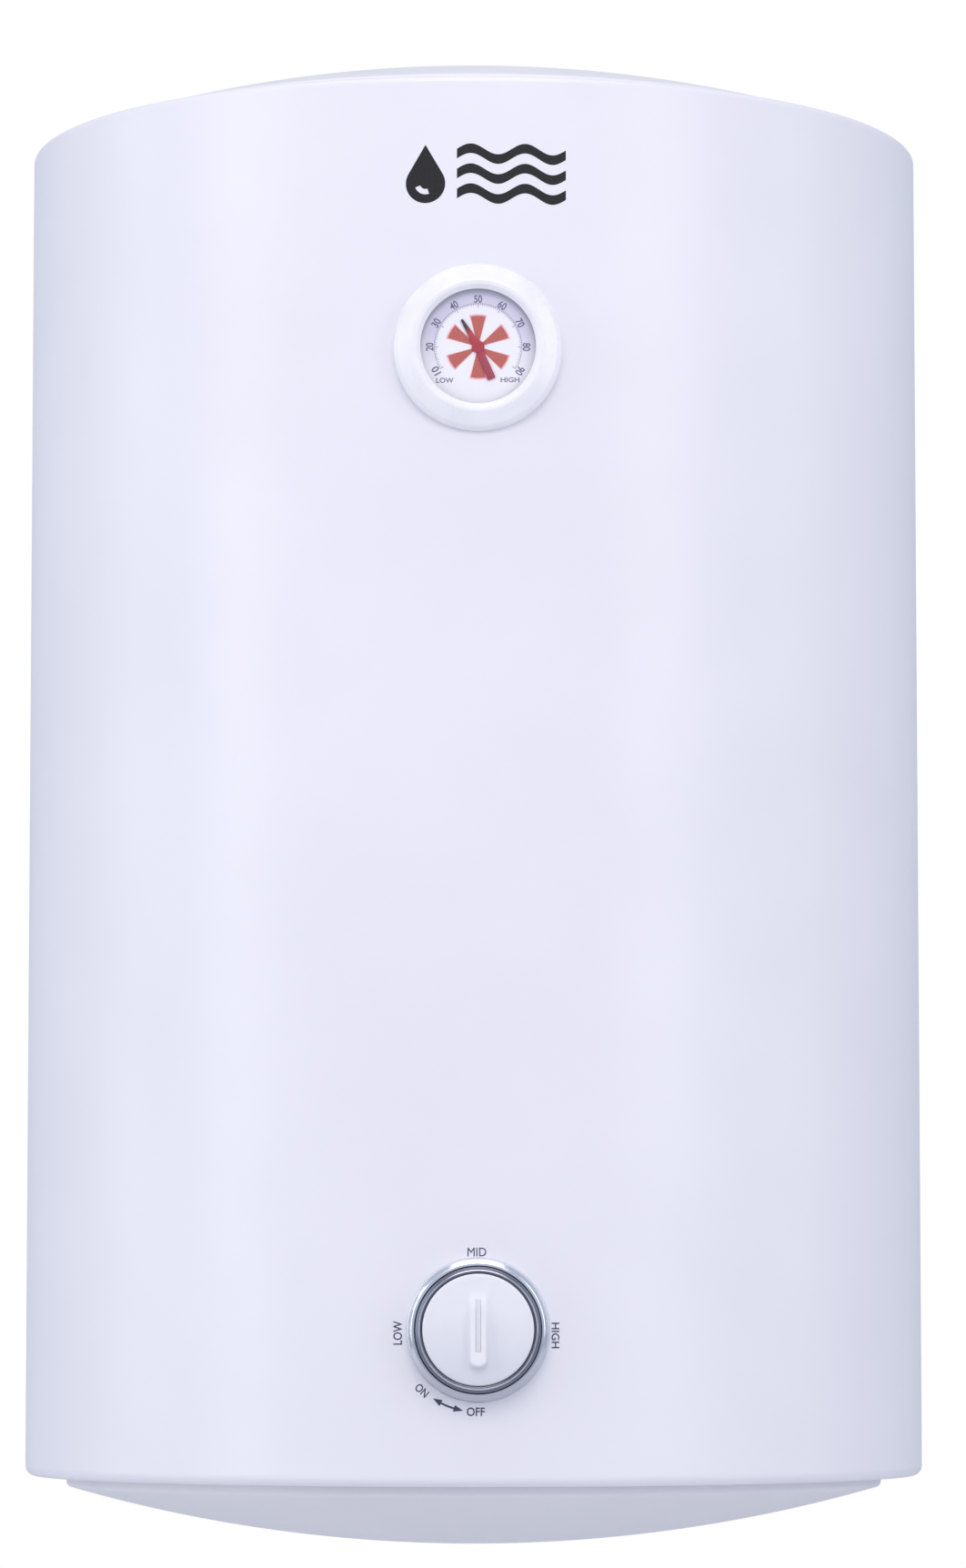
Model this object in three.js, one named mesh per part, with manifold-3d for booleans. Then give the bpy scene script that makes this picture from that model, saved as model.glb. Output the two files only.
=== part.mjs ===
// Wall-hung electric storage water heater of the 80 litre class.
// Millimetres. +Z is up, -Y is the front and +Y points into the wall.
// The origin is the middle of the hanging bracket's back face, on the wall.

import * as THREE from 'three';
import { mergeVertices } from 'three/addons/utils/BufferGeometryUtils.js';
import Module from 'manifold-3d';

const wasm = await Module();
wasm.setup();

// ---------------------------------------------------------------- driving dimensions

const GAP = 0.3; // clearance between parts that touch or slide
const HOLE_GAP = 0.5; // the same between a bar and the flat-sided hole round it
const THROUGH = 20; // how far a cutting tool runs past the part it cuts

// Heights below are above the casing's bottom rim, unless a comment says otherwise.
const CASING = {
  radius: 225,
  height: 667,
  wall: 1.2,
  bottomBend: 5,
  topBend: 3,
  lipRadius: 206,
  seamWidth: 10,
  seamProud: 0.9,
  seamMargin: 10,
};

// The domed end covers, measured outwards from the rim that they close
const COVER = {
  radius: 204.4,
  wall: 2.5,
  shoulder: 5,
  topRise: 33,
  bottomRise: 29.1,
  flangeRadius: 218,
  flangeWall: 2.2,
};

// The round service opening in the bottom cover
const SERVICE = {
  opening: 78,
  ledgeRadius: 62,
  ledgeSet: 2.9,
  ledgeWall: 2.2,
  lidWall: 2.4,
  lidRadius: 77.5,
  screwPlace: 70,
  screwRadius: 1.6,
  grommetPlace: 45,
  grommetHole: 8,
  cableBore: 4.2,
};

const FOAM_GAP = 0.5;

const TANK = {
  radius: 199,
  wall: 2,
  bottom: 112,
  top: 626,
  headDepth: 60,
};

// The bolted opening under the tank, which carries the heating parts
const FLANGE = {
  radius: 60,
  plateBottom: 23,
  plateTop: 27.2,
  gasketInner: 37,
  gasketOuter: 44,
  collarBottom: 30,
  collarInner: 38,
  collarOuter: 43,
  collarRim: 6,
  collarTop: 56,
  boltCount: 4,
  boltCircle: 51,
  boltRadius: 4,
  boltHead: 7.5,
};

const ELEMENT = { legX: 13, legY: -12, tube: 4, bottom: 17, top: 300 };
const WELL = { x: 0, y: 20, outer: 5, inner: 3.8, bottom: 15, top: 250 };
const BULB = { radius: 3.2, bottom: 110, top: 240 };
const CAPILLARY_RADIUS = 0.9;
const ANODE = { x: -22, y: 12, rod: 10.5, bottom: 45, top: 345, stud: 4 };
const CUTOUT = { x: [6, 34], y: [-2, 24], z: [5, 22.7] };
const RESET = { x: 20, y: 11, radius: 2.5, bottom: 1, top: 9 };
const TERMINALS = { x: [-16, 16], y: [-44, -26], z: [2, 22.7] };
const WIRE = { radius: 1.4, sides: 6 };

// The thermostat and its knob, on an axis along Y at this height
const KNOB = {
  height: 73,
  radius: 26,
  ringInner: 26.3,
  ringOuter: 29.3,
  bezelInner: 29.8,
  bezelOuter: 33.8,
  ridgeWidth: 9.1,
  ridgeLength: 36,
  markerWidth: 2.4,
  markerLength: 24,
  markerCentre: 2,
  spindle: 3,
  bush: 7,
  screwPlace: 15,
};

// The dial thermometer, on an axis along Y at this height
const GAUGE = {
  height: 536,
  bezelOuter: 40,
  window: 27.3,
  bore: 29.8,
  housing: 29.4,
  dial: 27.9,
  needleAngle: -30.8,
  tailBend: 8,
};

const PIPE = { x: 50, y: 120, outer: 10.4, bore: 7, bottom: -35.3, top: 86 };
const COLLAR = { inner: 10.7, sleeve: 13.2, rim: 17, bottom: -27, top: -8 };
const DIP_TUBE_TOP = 650;

const WALL_GAP = 25; // from the wall to the back of the casing
const BRACKET = {
  belowTop: 150,
  height: 70,
  wall: 2.5,
  legX: 100.9,
  footAngle: 29.9,
  footLength: 28,
  keyholeX: 70,
  boltZ: 18,
  boltRadius: 4,
  bossWidth: 22,
};
const SPACER = { width: 60, height: 30, centre: 70 };

// Numbers of sides of round parts
const CASING_SIDES = 36;
const TANK_SIDES = 24;
const ROUND_SIDES = 24;
const SMALL_SIDES = 16;
const TINY_SIDES = 12;

const BRACKET_Z = CASING.height - BRACKET.belowTop;
const WALL_Y = CASING.radius + WALL_GAP;

// ---------------------------------------------------------------- solids

const rad = THREE.MathUtils.degToRad;

// A closed geometry as a solid that can be cut and joined
function toSolid(geometry) {
  const bare = geometry.clone();
  bare.deleteAttribute('normal');
  bare.deleteAttribute('uv');
  const merged = mergeVertices(bare, 1e-4);
  const corners = merged.index.array;
  const faces = [];
  for (let i = 0; i < corners.length; i += 3) {
    const [a, b, c] = corners.slice(i, i + 3);
    if (a !== b && b !== c && c !== a) faces.push(a, b, c);
  }
  return new wasm.Manifold(new wasm.Mesh({
    numProp: 3,
    vertProperties: new Float32Array(merged.attributes.position.array),
    triVerts: new Uint32Array(faces),
  }));
}

function toGeometry(solid) {
  const mesh = solid.getMesh();
  const geometry = new THREE.BufferGeometry();
  geometry.setAttribute('position', new THREE.BufferAttribute(mesh.vertProperties, 3));
  geometry.setIndex(new THREE.BufferAttribute(mesh.triVerts, 1));
  geometry.computeVertexNormals();
  return geometry;
}

function cut(body, ...tools) {
  return toGeometry(tools.reduce((solid, tool) => solid.subtract(toSolid(tool)), toSolid(body)));
}

function join(...bodies) {
  return toGeometry(bodies.map(toSolid).reduce((sum, solid) => sum.add(solid)));
}

// Points along an arc, as [x, y] pairs, with its angles in degrees
function arc([x, y], radius, from, to, steps) {
  return Array.from({ length: steps + 1 }, (_, i) => {
    const angle = rad(from + (to - from) * i / steps);
    return [x + radius * Math.cos(angle), y + radius * Math.sin(angle)];
  });
}

// A ring or disc turned about the Y axis from a closed outline of [radius, y] pairs
function turnedOnY(outline, sides) {
  let area = 0;
  outline.forEach(([r, y], i) => {
    const [nextR, nextY] = outline[(i + 1) % outline.length];
    area += r * nextY - nextR * y;
  });
  const loop = area > 0 ? [...outline] : [...outline].reverse();
  loop.push(loop[0]);
  return new THREE.LatheGeometry(loop.map(([r, y]) => new THREE.Vector2(r, y)), sides);
}

// The same about the Z axis, from [radius, z] pairs
function turned(outline, sides) {
  return turnedOnY(outline, sides).rotateX(Math.PI / 2);
}

// A round bar between two points, with a second radius if it tapers
function rod(radius, start, end, sides = TINY_SIDES, endRadius = radius) {
  const a = new THREE.Vector3(...start);
  const b = new THREE.Vector3(...end);
  const along = b.clone().sub(a);
  const turn = new THREE.Quaternion();
  turn.setFromUnitVectors(new THREE.Vector3(0, 1, 0), along.clone().normalize());
  const bar = new THREE.CylinderGeometry(endRadius, radius, along.length(), sides);
  return bar.applyQuaternion(turn).translate(...a.lerp(b, 0.5));
}

function tube(inner, outer, bottom, top, sides) {
  return turned([[inner, bottom], [outer, bottom], [outer, top], [inner, top]], sides);
}

function block([x0, x1], [y0, y1], [z0, z1]) {
  const box = new THREE.BoxGeometry(x1 - x0, y1 - y0, z1 - z0);
  return box.translate((x0 + x1) / 2, (y0 + y1) / 2, (z0 + z1) / 2);
}

// An outline of [x, y] pairs drawn up along Z
function prism(outline, bottom, top) {
  const shape = new THREE.Shape(outline.map(([x, y]) => new THREE.Vector2(x, y)));
  const body = new THREE.ExtrudeGeometry(shape, { depth: top - bottom, bevelEnabled: false });
  return body.translate(0, 0, bottom);
}

// A round bar along a smooth line through the points
function swept(points, radius, sides, steps) {
  const path = new THREE.CatmullRomCurve3(points.map((point) => new THREE.Vector3(...point)));
  const circle = arc([0, 0], radius, 0, 360, sides).slice(0, -1);
  const section = new THREE.Shape(circle.map(([x, y]) => new THREE.Vector2(x, y)));
  return new THREE.ExtrudeGeometry(section, { steps, bevelEnabled: false, extrudePath: path });
}

// The two sides of a bent strip, at half its thickness from its middle line
function stripOutline(middle, thickness) {
  const line = middle.map(([x, y]) => new THREE.Vector2(x, y));
  const side = (sign) => line.map((point, i) => {
    const before = point.clone().sub(line[Math.max(i - 1, 0)]).normalize();
    const after = line[Math.min(i + 1, line.length - 1)].clone().sub(point).normalize();
    const way = before.clone().add(after).normalize();
    const piece = i === 0 ? after : before;
    const spread = sign * thickness / 2 / way.dot(piece);
    return [point.x - way.y * spread, point.y + way.x * spread];
  });
  return [...side(-1), ...side(1).reverse()];
}

// A point at an angle from the back of the casing, at a distance from its axis
function aroundBack(angle, distance, z) {
  return [distance * Math.sin(rad(angle)), distance * Math.cos(rad(angle)), z];
}

// ---------------------------------------------------------------- finishes

function finish(color, roughness, metalness) {
  return new THREE.MeshStandardMaterial({ color, roughness, metalness });
}

const whiteEnamel = finish('#e9e7f4', 0.3, 0);
const greyEnamel = finish('#c9c7d4', 0.4, 0);
const whitePlastic = finish('#eceaf3', 0.35, 0);
const chrome = finish('#c4c6cc', 0.12, 1);
const dialWhite = finish('#f2f1f6', 0.6, 0);
const clearPlastic = finish('#f6f8fb', 0.05, 0);
const needleRed = finish('#a8434d', 0.5, 0);
const foam = finish('#e2cf86', 0.95, 0);
const vitreousBlue = finish('#2d4a78', 0.25, 0);
const zincSteel = finish('#a9adb0', 0.4, 1);
const copper = finish('#b5714a', 0.35, 1);
const brass = finish('#b99a55', 0.35, 1);
const magnesium = finish('#b4b4b0', 0.6, 1);
const blackPlastic = finish('#26262a', 0.5, 0);
const greyPlastic = finish('#b9b9bd', 0.5, 0);
const redPlastic = finish('#b8322e', 0.45, 0);
const bluePlastic = finish('#2c5aa8', 0.45, 0);
const blackRubber = finish('#2a2a2b', 0.85, 0);
const redRubber = finish('#8c3b2f', 0.8, 0);
const earthGreen = finish('#6f9a2f', 0.5, 0);
const wireBrown = finish('#6b3f26', 0.5, 0);
const wireBlue = finish('#2f62b0', 0.5, 0);
const wireBlack = finish('#222226', 0.5, 0);

function addPart(parent, name, geometry, material, place = [0, 0, 0], turn = [0, 0, 0]) {
  const mesh = new THREE.Mesh(toGeometry(toSolid(geometry)), material);
  mesh.name = name;
  mesh.position.set(...place);
  mesh.rotation.set(...turn.map(rad));
  parent.add(mesh);
}

// ---------------------------------------------------------------- casing and end covers

// The casing's outer cylinder grown by a clearance, to trim what sits on it
function casingBody(clearance, bottom, top) {
  const radius = CASING.radius + clearance;
  return turned([[0, bottom], [radius, bottom], [radius, top], [0, top]], CASING_SIDES);
}

function bracketBoltPlaces() {
  const sides = [-BRACKET.footAngle, BRACKET.footAngle];
  return sides.flatMap((angle) => [BRACKET.boltZ, -BRACKET.boltZ].map((z) => ({ angle, z })));
}

function outerCasing() {
  const { radius, height, wall, bottomBend, topBend, lipRadius } = CASING;
  const bottomCentre = [radius - bottomBend, bottomBend];
  const topCentre = [radius - topBend, height - topBend];
  const shell = turned([
    [lipRadius, 0],
    ...arc(bottomCentre, bottomBend, -90, 0, 2),
    ...arc(topCentre, topBend, 0, 90, 2),
    [lipRadius, height],
    [lipRadius, height - wall],
    ...arc(topCentre, topBend - wall, 90, 0, 1),
    ...arc(bottomCentre, bottomBend - wall, 0, -90, 1),
    [lipRadius, wall],
  ], CASING_SIDES);
  const halfSeam = CASING.seamWidth / 2;
  const seam = block(
    [-halfSeam, halfSeam],
    [radius - wall * 0.7, radius + CASING.seamProud],
    [CASING.seamMargin, height - CASING.seamMargin],
  );
  const frontHole = (hole, x, z) => rod(hole, [x, -radius - THROUGH, z], [x, -radius + THROUGH, z]);
  const holes = [
    rod(GAUGE.housing + 0.5, [0, -radius - THROUGH, GAUGE.height],
      [0, -radius + THROUGH, GAUGE.height], ROUND_SIDES),
    frontHole(KNOB.bush + 1, 0, KNOB.height),
    frontHole(2.3, KNOB.screwPlace, KNOB.height),
    frontHole(2.3, -KNOB.screwPlace, KNOB.height),
    ...bracketBoltPlaces().map(({ angle, z }) => rod(
      BRACKET.boltRadius + 0.6,
      aroundBack(angle, radius - THROUGH, BRACKET_Z + z),
      aroundBack(angle, radius + THROUGH, BRACKET_Z + z),
    )),
  ];
  return cut(join(shell, seam), ...holes);
}

// How far an end cover's dome stands out from the rim, at a distance from the axis
function domeHeight(distance, rise) {
  const sphere = (COVER.radius ** 2 + rise ** 2) / (2 * rise);
  return COVER.shoulder + rise - sphere + Math.sqrt(sphere ** 2 - distance ** 2);
}

// Points across the dome, lying a little under its outer face
function domeLine(from, to, under, rise, steps) {
  return Array.from({ length: steps + 1 }, (_, i) => {
    const distance = from + (to - from) * i / steps;
    return [distance, domeHeight(distance, rise) - under];
  });
}

// The flange that is clamped under the casing's lip, as [radius, outward height] pairs
function coverFlange() {
  const face = -CASING.wall - GAP;
  return [
    [COVER.radius - COVER.wall, face - COVER.flangeWall],
    [COVER.flangeRadius, face - COVER.flangeWall],
    [COVER.flangeRadius, face],
    [COVER.radius, face],
  ];
}

function topCover() {
  const inside = COVER.radius - COVER.wall;
  const outline = [
    ...coverFlange(),
    ...domeLine(COVER.radius, 0, 0, COVER.topRise, 4),
    ...domeLine(0, inside, COVER.wall, COVER.topRise, 4),
  ];
  return turned(outline.map(([r, h]) => [r, CASING.height + h]), CASING_SIDES);
}

function serviceScrewHole(x, bottom) {
  const small = SERVICE.screwRadius + 0.35;
  const sink = 3.5;
  return join(
    rod(small + sink * 1.1, [x, 0, bottom - sink], [x, 0, bottom], SMALL_SIDES, small),
    rod(small, [x, 0, bottom - 1], [x, 0, bottom + THROUGH], SMALL_SIDES),
  );
}

// The height at which a service screw's cone ends and its shank begins
const SCREW_NECK = -domeHeight(SERVICE.screwPlace, COVER.bottomRise) + 2.5;

function bottomCover() {
  const inside = COVER.radius - COVER.wall;
  const rise = COVER.bottomRise;
  const ledgeFace = SERVICE.ledgeSet;
  const ledgeBack = SERVICE.ledgeSet + SERVICE.ledgeWall;
  const { opening, ledgeRadius, ledgeWall } = SERVICE;
  const outline = [
    ...coverFlange(),
    ...domeLine(COVER.radius, opening, 0, rise, 3),
    ...domeLine(opening, ledgeRadius, ledgeFace, rise, 1),
    ...domeLine(ledgeRadius, opening + ledgeWall, ledgeBack, rise, 1),
    ...domeLine(opening + ledgeWall, inside, COVER.wall, rise, 3),
  ];
  const shell = turned(outline.map(([r, h]) => [r, -h]), CASING_SIDES);
  const collarHole = (x) => rod(
    COLLAR.sleeve + GAP,
    [x, PIPE.y, -2 * THROUGH],
    [x, PIPE.y, 0],
    SMALL_SIDES,
  );
  return cut(
    shell,
    collarHole(-PIPE.x),
    collarHole(PIPE.x),
    serviceScrewHole(-SERVICE.screwPlace, SCREW_NECK),
    serviceScrewHole(SERVICE.screwPlace, SCREW_NECK),
  );
}

function serviceCover() {
  const rise = COVER.bottomRise;
  const outline = [
    ...domeLine(SERVICE.lidRadius, 0, 0, rise, 3),
    ...domeLine(0, SERVICE.lidRadius, SERVICE.lidWall, rise, 3),
  ];
  const lid = turned(outline.map(([r, h]) => [r, -h]), ROUND_SIDES);
  const cableHole = rod(
    SERVICE.grommetHole,
    [0, SERVICE.grommetPlace, -3 * THROUGH],
    [0, SERVICE.grommetPlace, 0],
    SMALL_SIDES,
  );
  return cut(
    lid,
    cableHole,
    serviceScrewHole(-SERVICE.screwPlace, SCREW_NECK),
    serviceScrewHole(SERVICE.screwPlace, SCREW_NECK),
  );
}

// A countersunk screw standing on its head, with its neck at the origin
function serviceScrew() {
  const { screwRadius } = SERVICE;
  const head = 2;
  return turned([
    [0, -head],
    [screwRadius + head * 1.1, -head],
    [screwRadius, 0],
    [screwRadius, 8],
    [0, 8.6],
  ], SMALL_SIDES);
}

function cableGrommet() {
  const outside = -domeHeight(SERVICE.grommetPlace, COVER.bottomRise);
  const neck = SERVICE.grommetHole - GAP;
  const lowerRim = outside - 1;
  const upperRim = outside + SERVICE.lidWall + 1;
  return turned([
    [SERVICE.cableBore, lowerRim - 2.1],
    [9.5, lowerRim - 2.1],
    [11, lowerRim - 1.2],
    [11, lowerRim],
    [neck, lowerRim],
    [neck, upperRim],
    [10, upperRim],
    [9, upperRim + 2],
    [SERVICE.cableBore, upperRim + 2],
  ], SMALL_SIDES);
}

function addCasing(heater) {
  addPart(heater, 'outer_casing', outerCasing(), whiteEnamel);
  addPart(heater, 'top_cover', topCover(), greyEnamel);
  addPart(heater, 'bottom_cover', bottomCover(), greyEnamel);
  addPart(heater, 'service_cover', serviceCover(), greyEnamel);
  [-SERVICE.screwPlace, SERVICE.screwPlace].forEach((x, i) => {
    addPart(heater, `service_cover_screw_${i + 1}`, serviceScrew(), zincSteel, [x, 0, SCREW_NECK]);
  });
  addPart(heater, 'cable_grommet', cableGrommet(), blackRubber, [0, SERVICE.grommetPlace, 0]);
}

// ---------------------------------------------------------------- tank

// Half an ellipse from the tank's wall to its crown, as [radius, outward height] pairs
function headLine(radius, depth, steps) {
  return arc([0, 0], 1, 0, 90, steps).map(([c, s]) => [radius * c, depth * s]);
}

function tankHead() {
  const inside = TANK.radius - TANK.wall;
  return [
    ...headLine(TANK.radius, TANK.headDepth, 5),
    ...headLine(inside, TANK.headDepth - TANK.wall, 5).reverse(),
  ];
}

function tankTopHead() {
  return turned(tankHead().map(([r, h]) => [r, TANK.top + h]), TANK_SIDES);
}

function tankBottomHead() {
  const head = turned(tankHead().map(([r, h]) => [r, TANK.bottom - h]), TANK_SIDES);
  const hole = (radius, x, y) => rod(radius, [x, y, 0], [x, y, TANK.bottom], ROUND_SIDES);
  return cut(
    head,
    hole(FLANGE.collarOuter + 2 * GAP, 0, 0),
    hole(PIPE.outer + 0.4, -PIPE.x, PIPE.y),
    hole(PIPE.outer + 0.4, PIPE.x, PIPE.y),
  );
}

function tankBody() {
  const inside = TANK.radius - TANK.wall;
  return tube(inside, TANK.radius, TANK.bottom + GAP, TANK.top - GAP, TANK_SIDES);
}

function addTank(heater) {
  addPart(heater, 'tank_body', tankBody(), vitreousBlue);
  addPart(heater, 'tank_top_head', tankTopHead(), vitreousBlue);
  addPart(heater, 'tank_bottom_head', tankBottomHead(), vitreousBlue);
}

// ---------------------------------------------------------------- flange and what it carries

function flangeBoltPlaces() {
  const step = 360 / FLANGE.boltCount;
  return Array.from({ length: FLANGE.boltCount }, (_, i) => {
    const angle = rad(step * (i + 0.5));
    return [FLANGE.boltCircle * Math.cos(angle), FLANGE.boltCircle * Math.sin(angle)];
  });
}

function flangeHoles(bottom, top) {
  return flangeBoltPlaces().map(([x, y]) => rod(FLANGE.boltRadius + HOLE_GAP, [x, y, bottom], [x, y, top]));
}

function flangeCollar() {
  const { collarBottom, collarRim, collarInner, collarOuter, collarTop, radius } = FLANGE;
  const body = turned([
    [collarInner, collarBottom],
    [radius, collarBottom],
    [radius, collarBottom + collarRim],
    [collarOuter, collarBottom + collarRim],
    [collarOuter, collarTop],
    [collarInner, collarTop],
  ], ROUND_SIDES);
  return cut(body, ...flangeHoles(collarBottom - 1, collarBottom + collarRim + 1));
}

function flangeGasket() {
  const { gasketInner, gasketOuter, plateTop, collarBottom } = FLANGE;
  return tube(gasketInner, gasketOuter, plateTop + GAP, collarBottom - GAP, ROUND_SIDES);
}

function flangePlate() {
  const { radius, plateBottom, plateTop } = FLANGE;
  const span = [plateBottom - 1, plateTop + 1];
  const disc = turned([[0, plateBottom], [radius, plateBottom], [radius, plateTop], [0, plateTop]],
    ROUND_SIDES);
  const hole = (size, x, y) => rod(size, [x, y, span[0]], [x, y, span[1]]);
  return cut(
    disc,
    ...flangeHoles(...span),
    hole(ELEMENT.tube + HOLE_GAP, -ELEMENT.legX, ELEMENT.legY),
    hole(ELEMENT.tube + HOLE_GAP, ELEMENT.legX, ELEMENT.legY),
    hole(WELL.outer + HOLE_GAP, WELL.x, WELL.y),
    hole(ANODE.stud + HOLE_GAP, ANODE.x, ANODE.y),
  );
}

function flangeBolt() {
  const headTop = FLANGE.plateBottom - GAP;
  const end = FLANGE.collarBottom + FLANGE.collarRim + 1;
  return join(
    rod(FLANGE.boltHead, [0, 0, headTop - 5.4], [0, 0, headTop], 6),
    rod(FLANGE.boltRadius, [0, 0, headTop - 1], [0, 0, end]),
  );
}

// Two straight legs joined by a half-round bend at the top
function heatingElement() {
  const { legX, legY, tube: radius, bottom, top } = ELEMENT;
  const bendZ = top - legX;
  const legPoints = (x) => [bottom, bottom + 90, bendZ - 60].map((z) => [x, legY, z]);
  const bend = arc([0, bendZ], legX, 0, 180, 6).map(([x, z]) => [x, legY, z]);
  return swept([...legPoints(legX), ...bend, ...legPoints(-legX).reverse()], radius, 8, 26);
}

function elementTerminal() {
  const top = ELEMENT.bottom - GAP;
  return turned([
    [0, top - 7.7],
    [1.6, top - 7.7],
    [1.6, top - 4.7],
    [3.4, top - 4.7],
    [3.4, top - 1.7],
    [1.6, top - 1.7],
    [1.6, top],
    [0, top],
  ], TINY_SIDES);
}

function thermowell() {
  const { outer, inner, bottom, top } = WELL;
  return turned([
    [inner, bottom],
    [outer, bottom],
    [outer, top - 3],
    [2, top],
    [0, top],
    [0, top - 3],
    [inner, top - 3],
  ], TINY_SIDES);
}

// The bulb in the thermowell and the capillary that runs from it to the thermostat
function thermostatBulb() {
  const bulb = rod(BULB.radius, [WELL.x, WELL.y, BULB.bottom], [WELL.x, WELL.y, BULB.top]);
  const route = [
    [WELL.x, WELL.y, BULB.bottom + 4],
    [WELL.x, WELL.y, 60],
    [WELL.x, WELL.y, 10],
    [0, 12, -4],
    [0, -20, -16],
    [-2, -70, -14],
    [-6, -150, 0],
    [-10, -195, 22],
    [-10, -205, 42],
    [-10, -205, KNOB.height - 21.3],
  ];
  return join(bulb, swept(route, CAPILLARY_RADIUS, 6, 34));
}

function magnesiumAnode() {
  const { rod: radius, bottom, top, stud } = ANODE;
  return turned([
    [0, 15],
    [stud, 15],
    [stud, bottom],
    [radius, bottom],
    [radius, top - 4],
    [radius - 4, top],
    [0, top],
  ], SMALL_SIDES);
}

function thermalCutout() {
  const bore = rod(RESET.radius + 0.4, [RESET.x, RESET.y, 0], [RESET.x, RESET.y, 12], SMALL_SIDES);
  return cut(block(CUTOUT.x, CUTOUT.y, CUTOUT.z), bore);
}

function resetButton() {
  const { radius, bottom, top } = RESET;
  return turned([
    [0, bottom],
    [radius - 0.6, bottom],
    [radius, bottom + 0.6],
    [radius, top],
    [0, top],
  ], SMALL_SIDES);
}

// A terminal strip with two cross walls standing between its three ways
function terminalBlock() {
  const notch = (x) => block([x - 3.6, x + 3.6], [TERMINALS.y[0] + 8, TERMINALS.y[1] + 1], [-1, 8]);
  return cut(block(TERMINALS.x, TERMINALS.y, TERMINALS.z), ...[-10, 0, 10].map(notch));
}

function addFlange(heater) {
  addPart(heater, 'tank_flange_collar', flangeCollar(), zincSteel);
  addPart(heater, 'flange_gasket', flangeGasket(), redRubber);
  addPart(heater, 'flange_plate', flangePlate(), zincSteel);
  flangeBoltPlaces().forEach(([x, y], i) => {
    addPart(heater, `flange_bolt_${i + 1}`, flangeBolt(), zincSteel, [x, y, 0]);
  });
  addPart(heater, 'heating_element', heatingElement(), copper);
  addPart(heater, 'element_terminal_left', elementTerminal(), brass,
    [-ELEMENT.legX, ELEMENT.legY, 0]);
  addPart(heater, 'element_terminal_right', elementTerminal(), brass,
    [ELEMENT.legX, ELEMENT.legY, 0]);
  addPart(heater, 'thermowell', thermowell(), copper, [WELL.x, WELL.y, 0]);
  addPart(heater, 'thermostat_bulb', thermostatBulb(), copper);
  addPart(heater, 'magnesium_anode', magnesiumAnode(), magnesium, [ANODE.x, ANODE.y, 0]);
  addPart(heater, 'thermal_cutout', thermalCutout(), blackPlastic);
  addPart(heater, 'reset_button', resetButton(), redPlastic, [RESET.x, RESET.y, 0]);
  addPart(heater, 'terminal_block', terminalBlock(), whitePlastic);
}

// ---------------------------------------------------------------- wiring

// Every wire ends a clearance short of the face that it is clamped to.
function addWires(heater) {
  const blockFace = 8 - GAP;
  const cutoutFace = CUTOUT.z[0] - GAP;
  const pinFace = ELEMENT.bottom - 8 - GAP;
  const thermostatFace = KNOB.height - 21 - GAP;
  const wires = [
    {
      name: 'live_wire',
      material: wireBrown,
      steps: 14,
      route: [[10, -31, blockFace], [10, -31, -3], [19, -18, -9], [28, 0, -5], [28, 4, 0],
        [28, 4, cutoutFace]],
    },
    {
      name: 'element_wire',
      material: wireBlack,
      steps: 12,
      route: [[11, 3, cutoutFace], [11, 3, 0], [12, -4, -5], [13, -12, 0], [13, -12, pinFace]],
    },
    {
      name: 'neutral_wire',
      material: wireBlue,
      steps: 12,
      route: [[-10, -31, blockFace], [-10, -31, -3], [-13, -21, -7], [-13, -12, 0],
        [-13, -12, pinFace]],
    },
    {
      name: 'earth_wire',
      material: earthGreen,
      steps: 16,
      route: [[0, -31, blockFace], [0, -31, -4], [-22, -31, -8], [-35, -22, 4],
        [-36, -16, 16], [-36, -16, FLANGE.plateBottom - GAP]],
    },
    {
      name: 'thermostat_wire',
      material: wireBlack,
      steps: 20,
      route: [[8, TERMINALS.y[0] - GAP, 12], [8, -52, 12], [8, -90, 6], [8, -140, 6], [8, -187, 24],
        [8, -205, 44], [8, -205, thermostatFace]],
    },
  ];
  wires.forEach(({ name, material, steps, route }) => {
    addPart(heater, name, swept(route, WIRE.radius, WIRE.sides, steps), material);
  });
}

// ---------------------------------------------------------------- thermostat and knob

const BEZEL_FLOOR = -CASING.radius - 1.8;
const KNOB_BACK = -CASING.radius - 4;
const KNOB_FACE = -CASING.radius - 14.5;
const RIDGE_TOP = -CASING.radius - 17.7;
const SPINDLE_FRONT = -CASING.radius - 12.5;

// The thermostat's case with the bush that passes through the casing
function thermostatBody() {
  const front = -CASING.radius + 3.5;
  const back = front + 28.5;
  const hole = (radius, x, to) => rod(radius, [x, -CASING.radius - THROUGH, 0], [x, to, 0]);
  const body = join(
    block([-21, 21], [front, back], [-21, 21]),
    rod(KNOB.bush, [0, -CASING.radius - 1.5, 0], [0, front + 2, 0], SMALL_SIDES),
  );
  return cut(
    body,
    hole(KNOB.spindle + 0.4, 0, -CASING.radius + 17),
    hole(2.2, -KNOB.screwPlace, -CASING.radius + 14),
    hole(2.2, KNOB.screwPlace, -CASING.radius + 14),
  );
}

// A round shaft with a flat along one side of its front end
function thermostatSpindle() {
  const back = -CASING.radius + 16;
  const shaft = rod(KNOB.spindle, [0, SPINDLE_FRONT, 0], [0, back, 0], SMALL_SIDES);
  return cut(shaft, block([-5, 5], [SPINDLE_FRONT - 1, SPINDLE_FRONT + 9], [2, 5]));
}

function thermostatScrew() {
  const headBack = BEZEL_FLOOR - GAP;
  return turnedOnY([
    [0, headBack - 1.4],
    [2.4, headBack - 1.4],
    [3.8, headBack - 0.4],
    [3.8, headBack],
    [1.9, headBack],
    [1.9, headBack + 13],
    [0, headBack + 13.6],
  ], TINY_SIDES);
}

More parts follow.
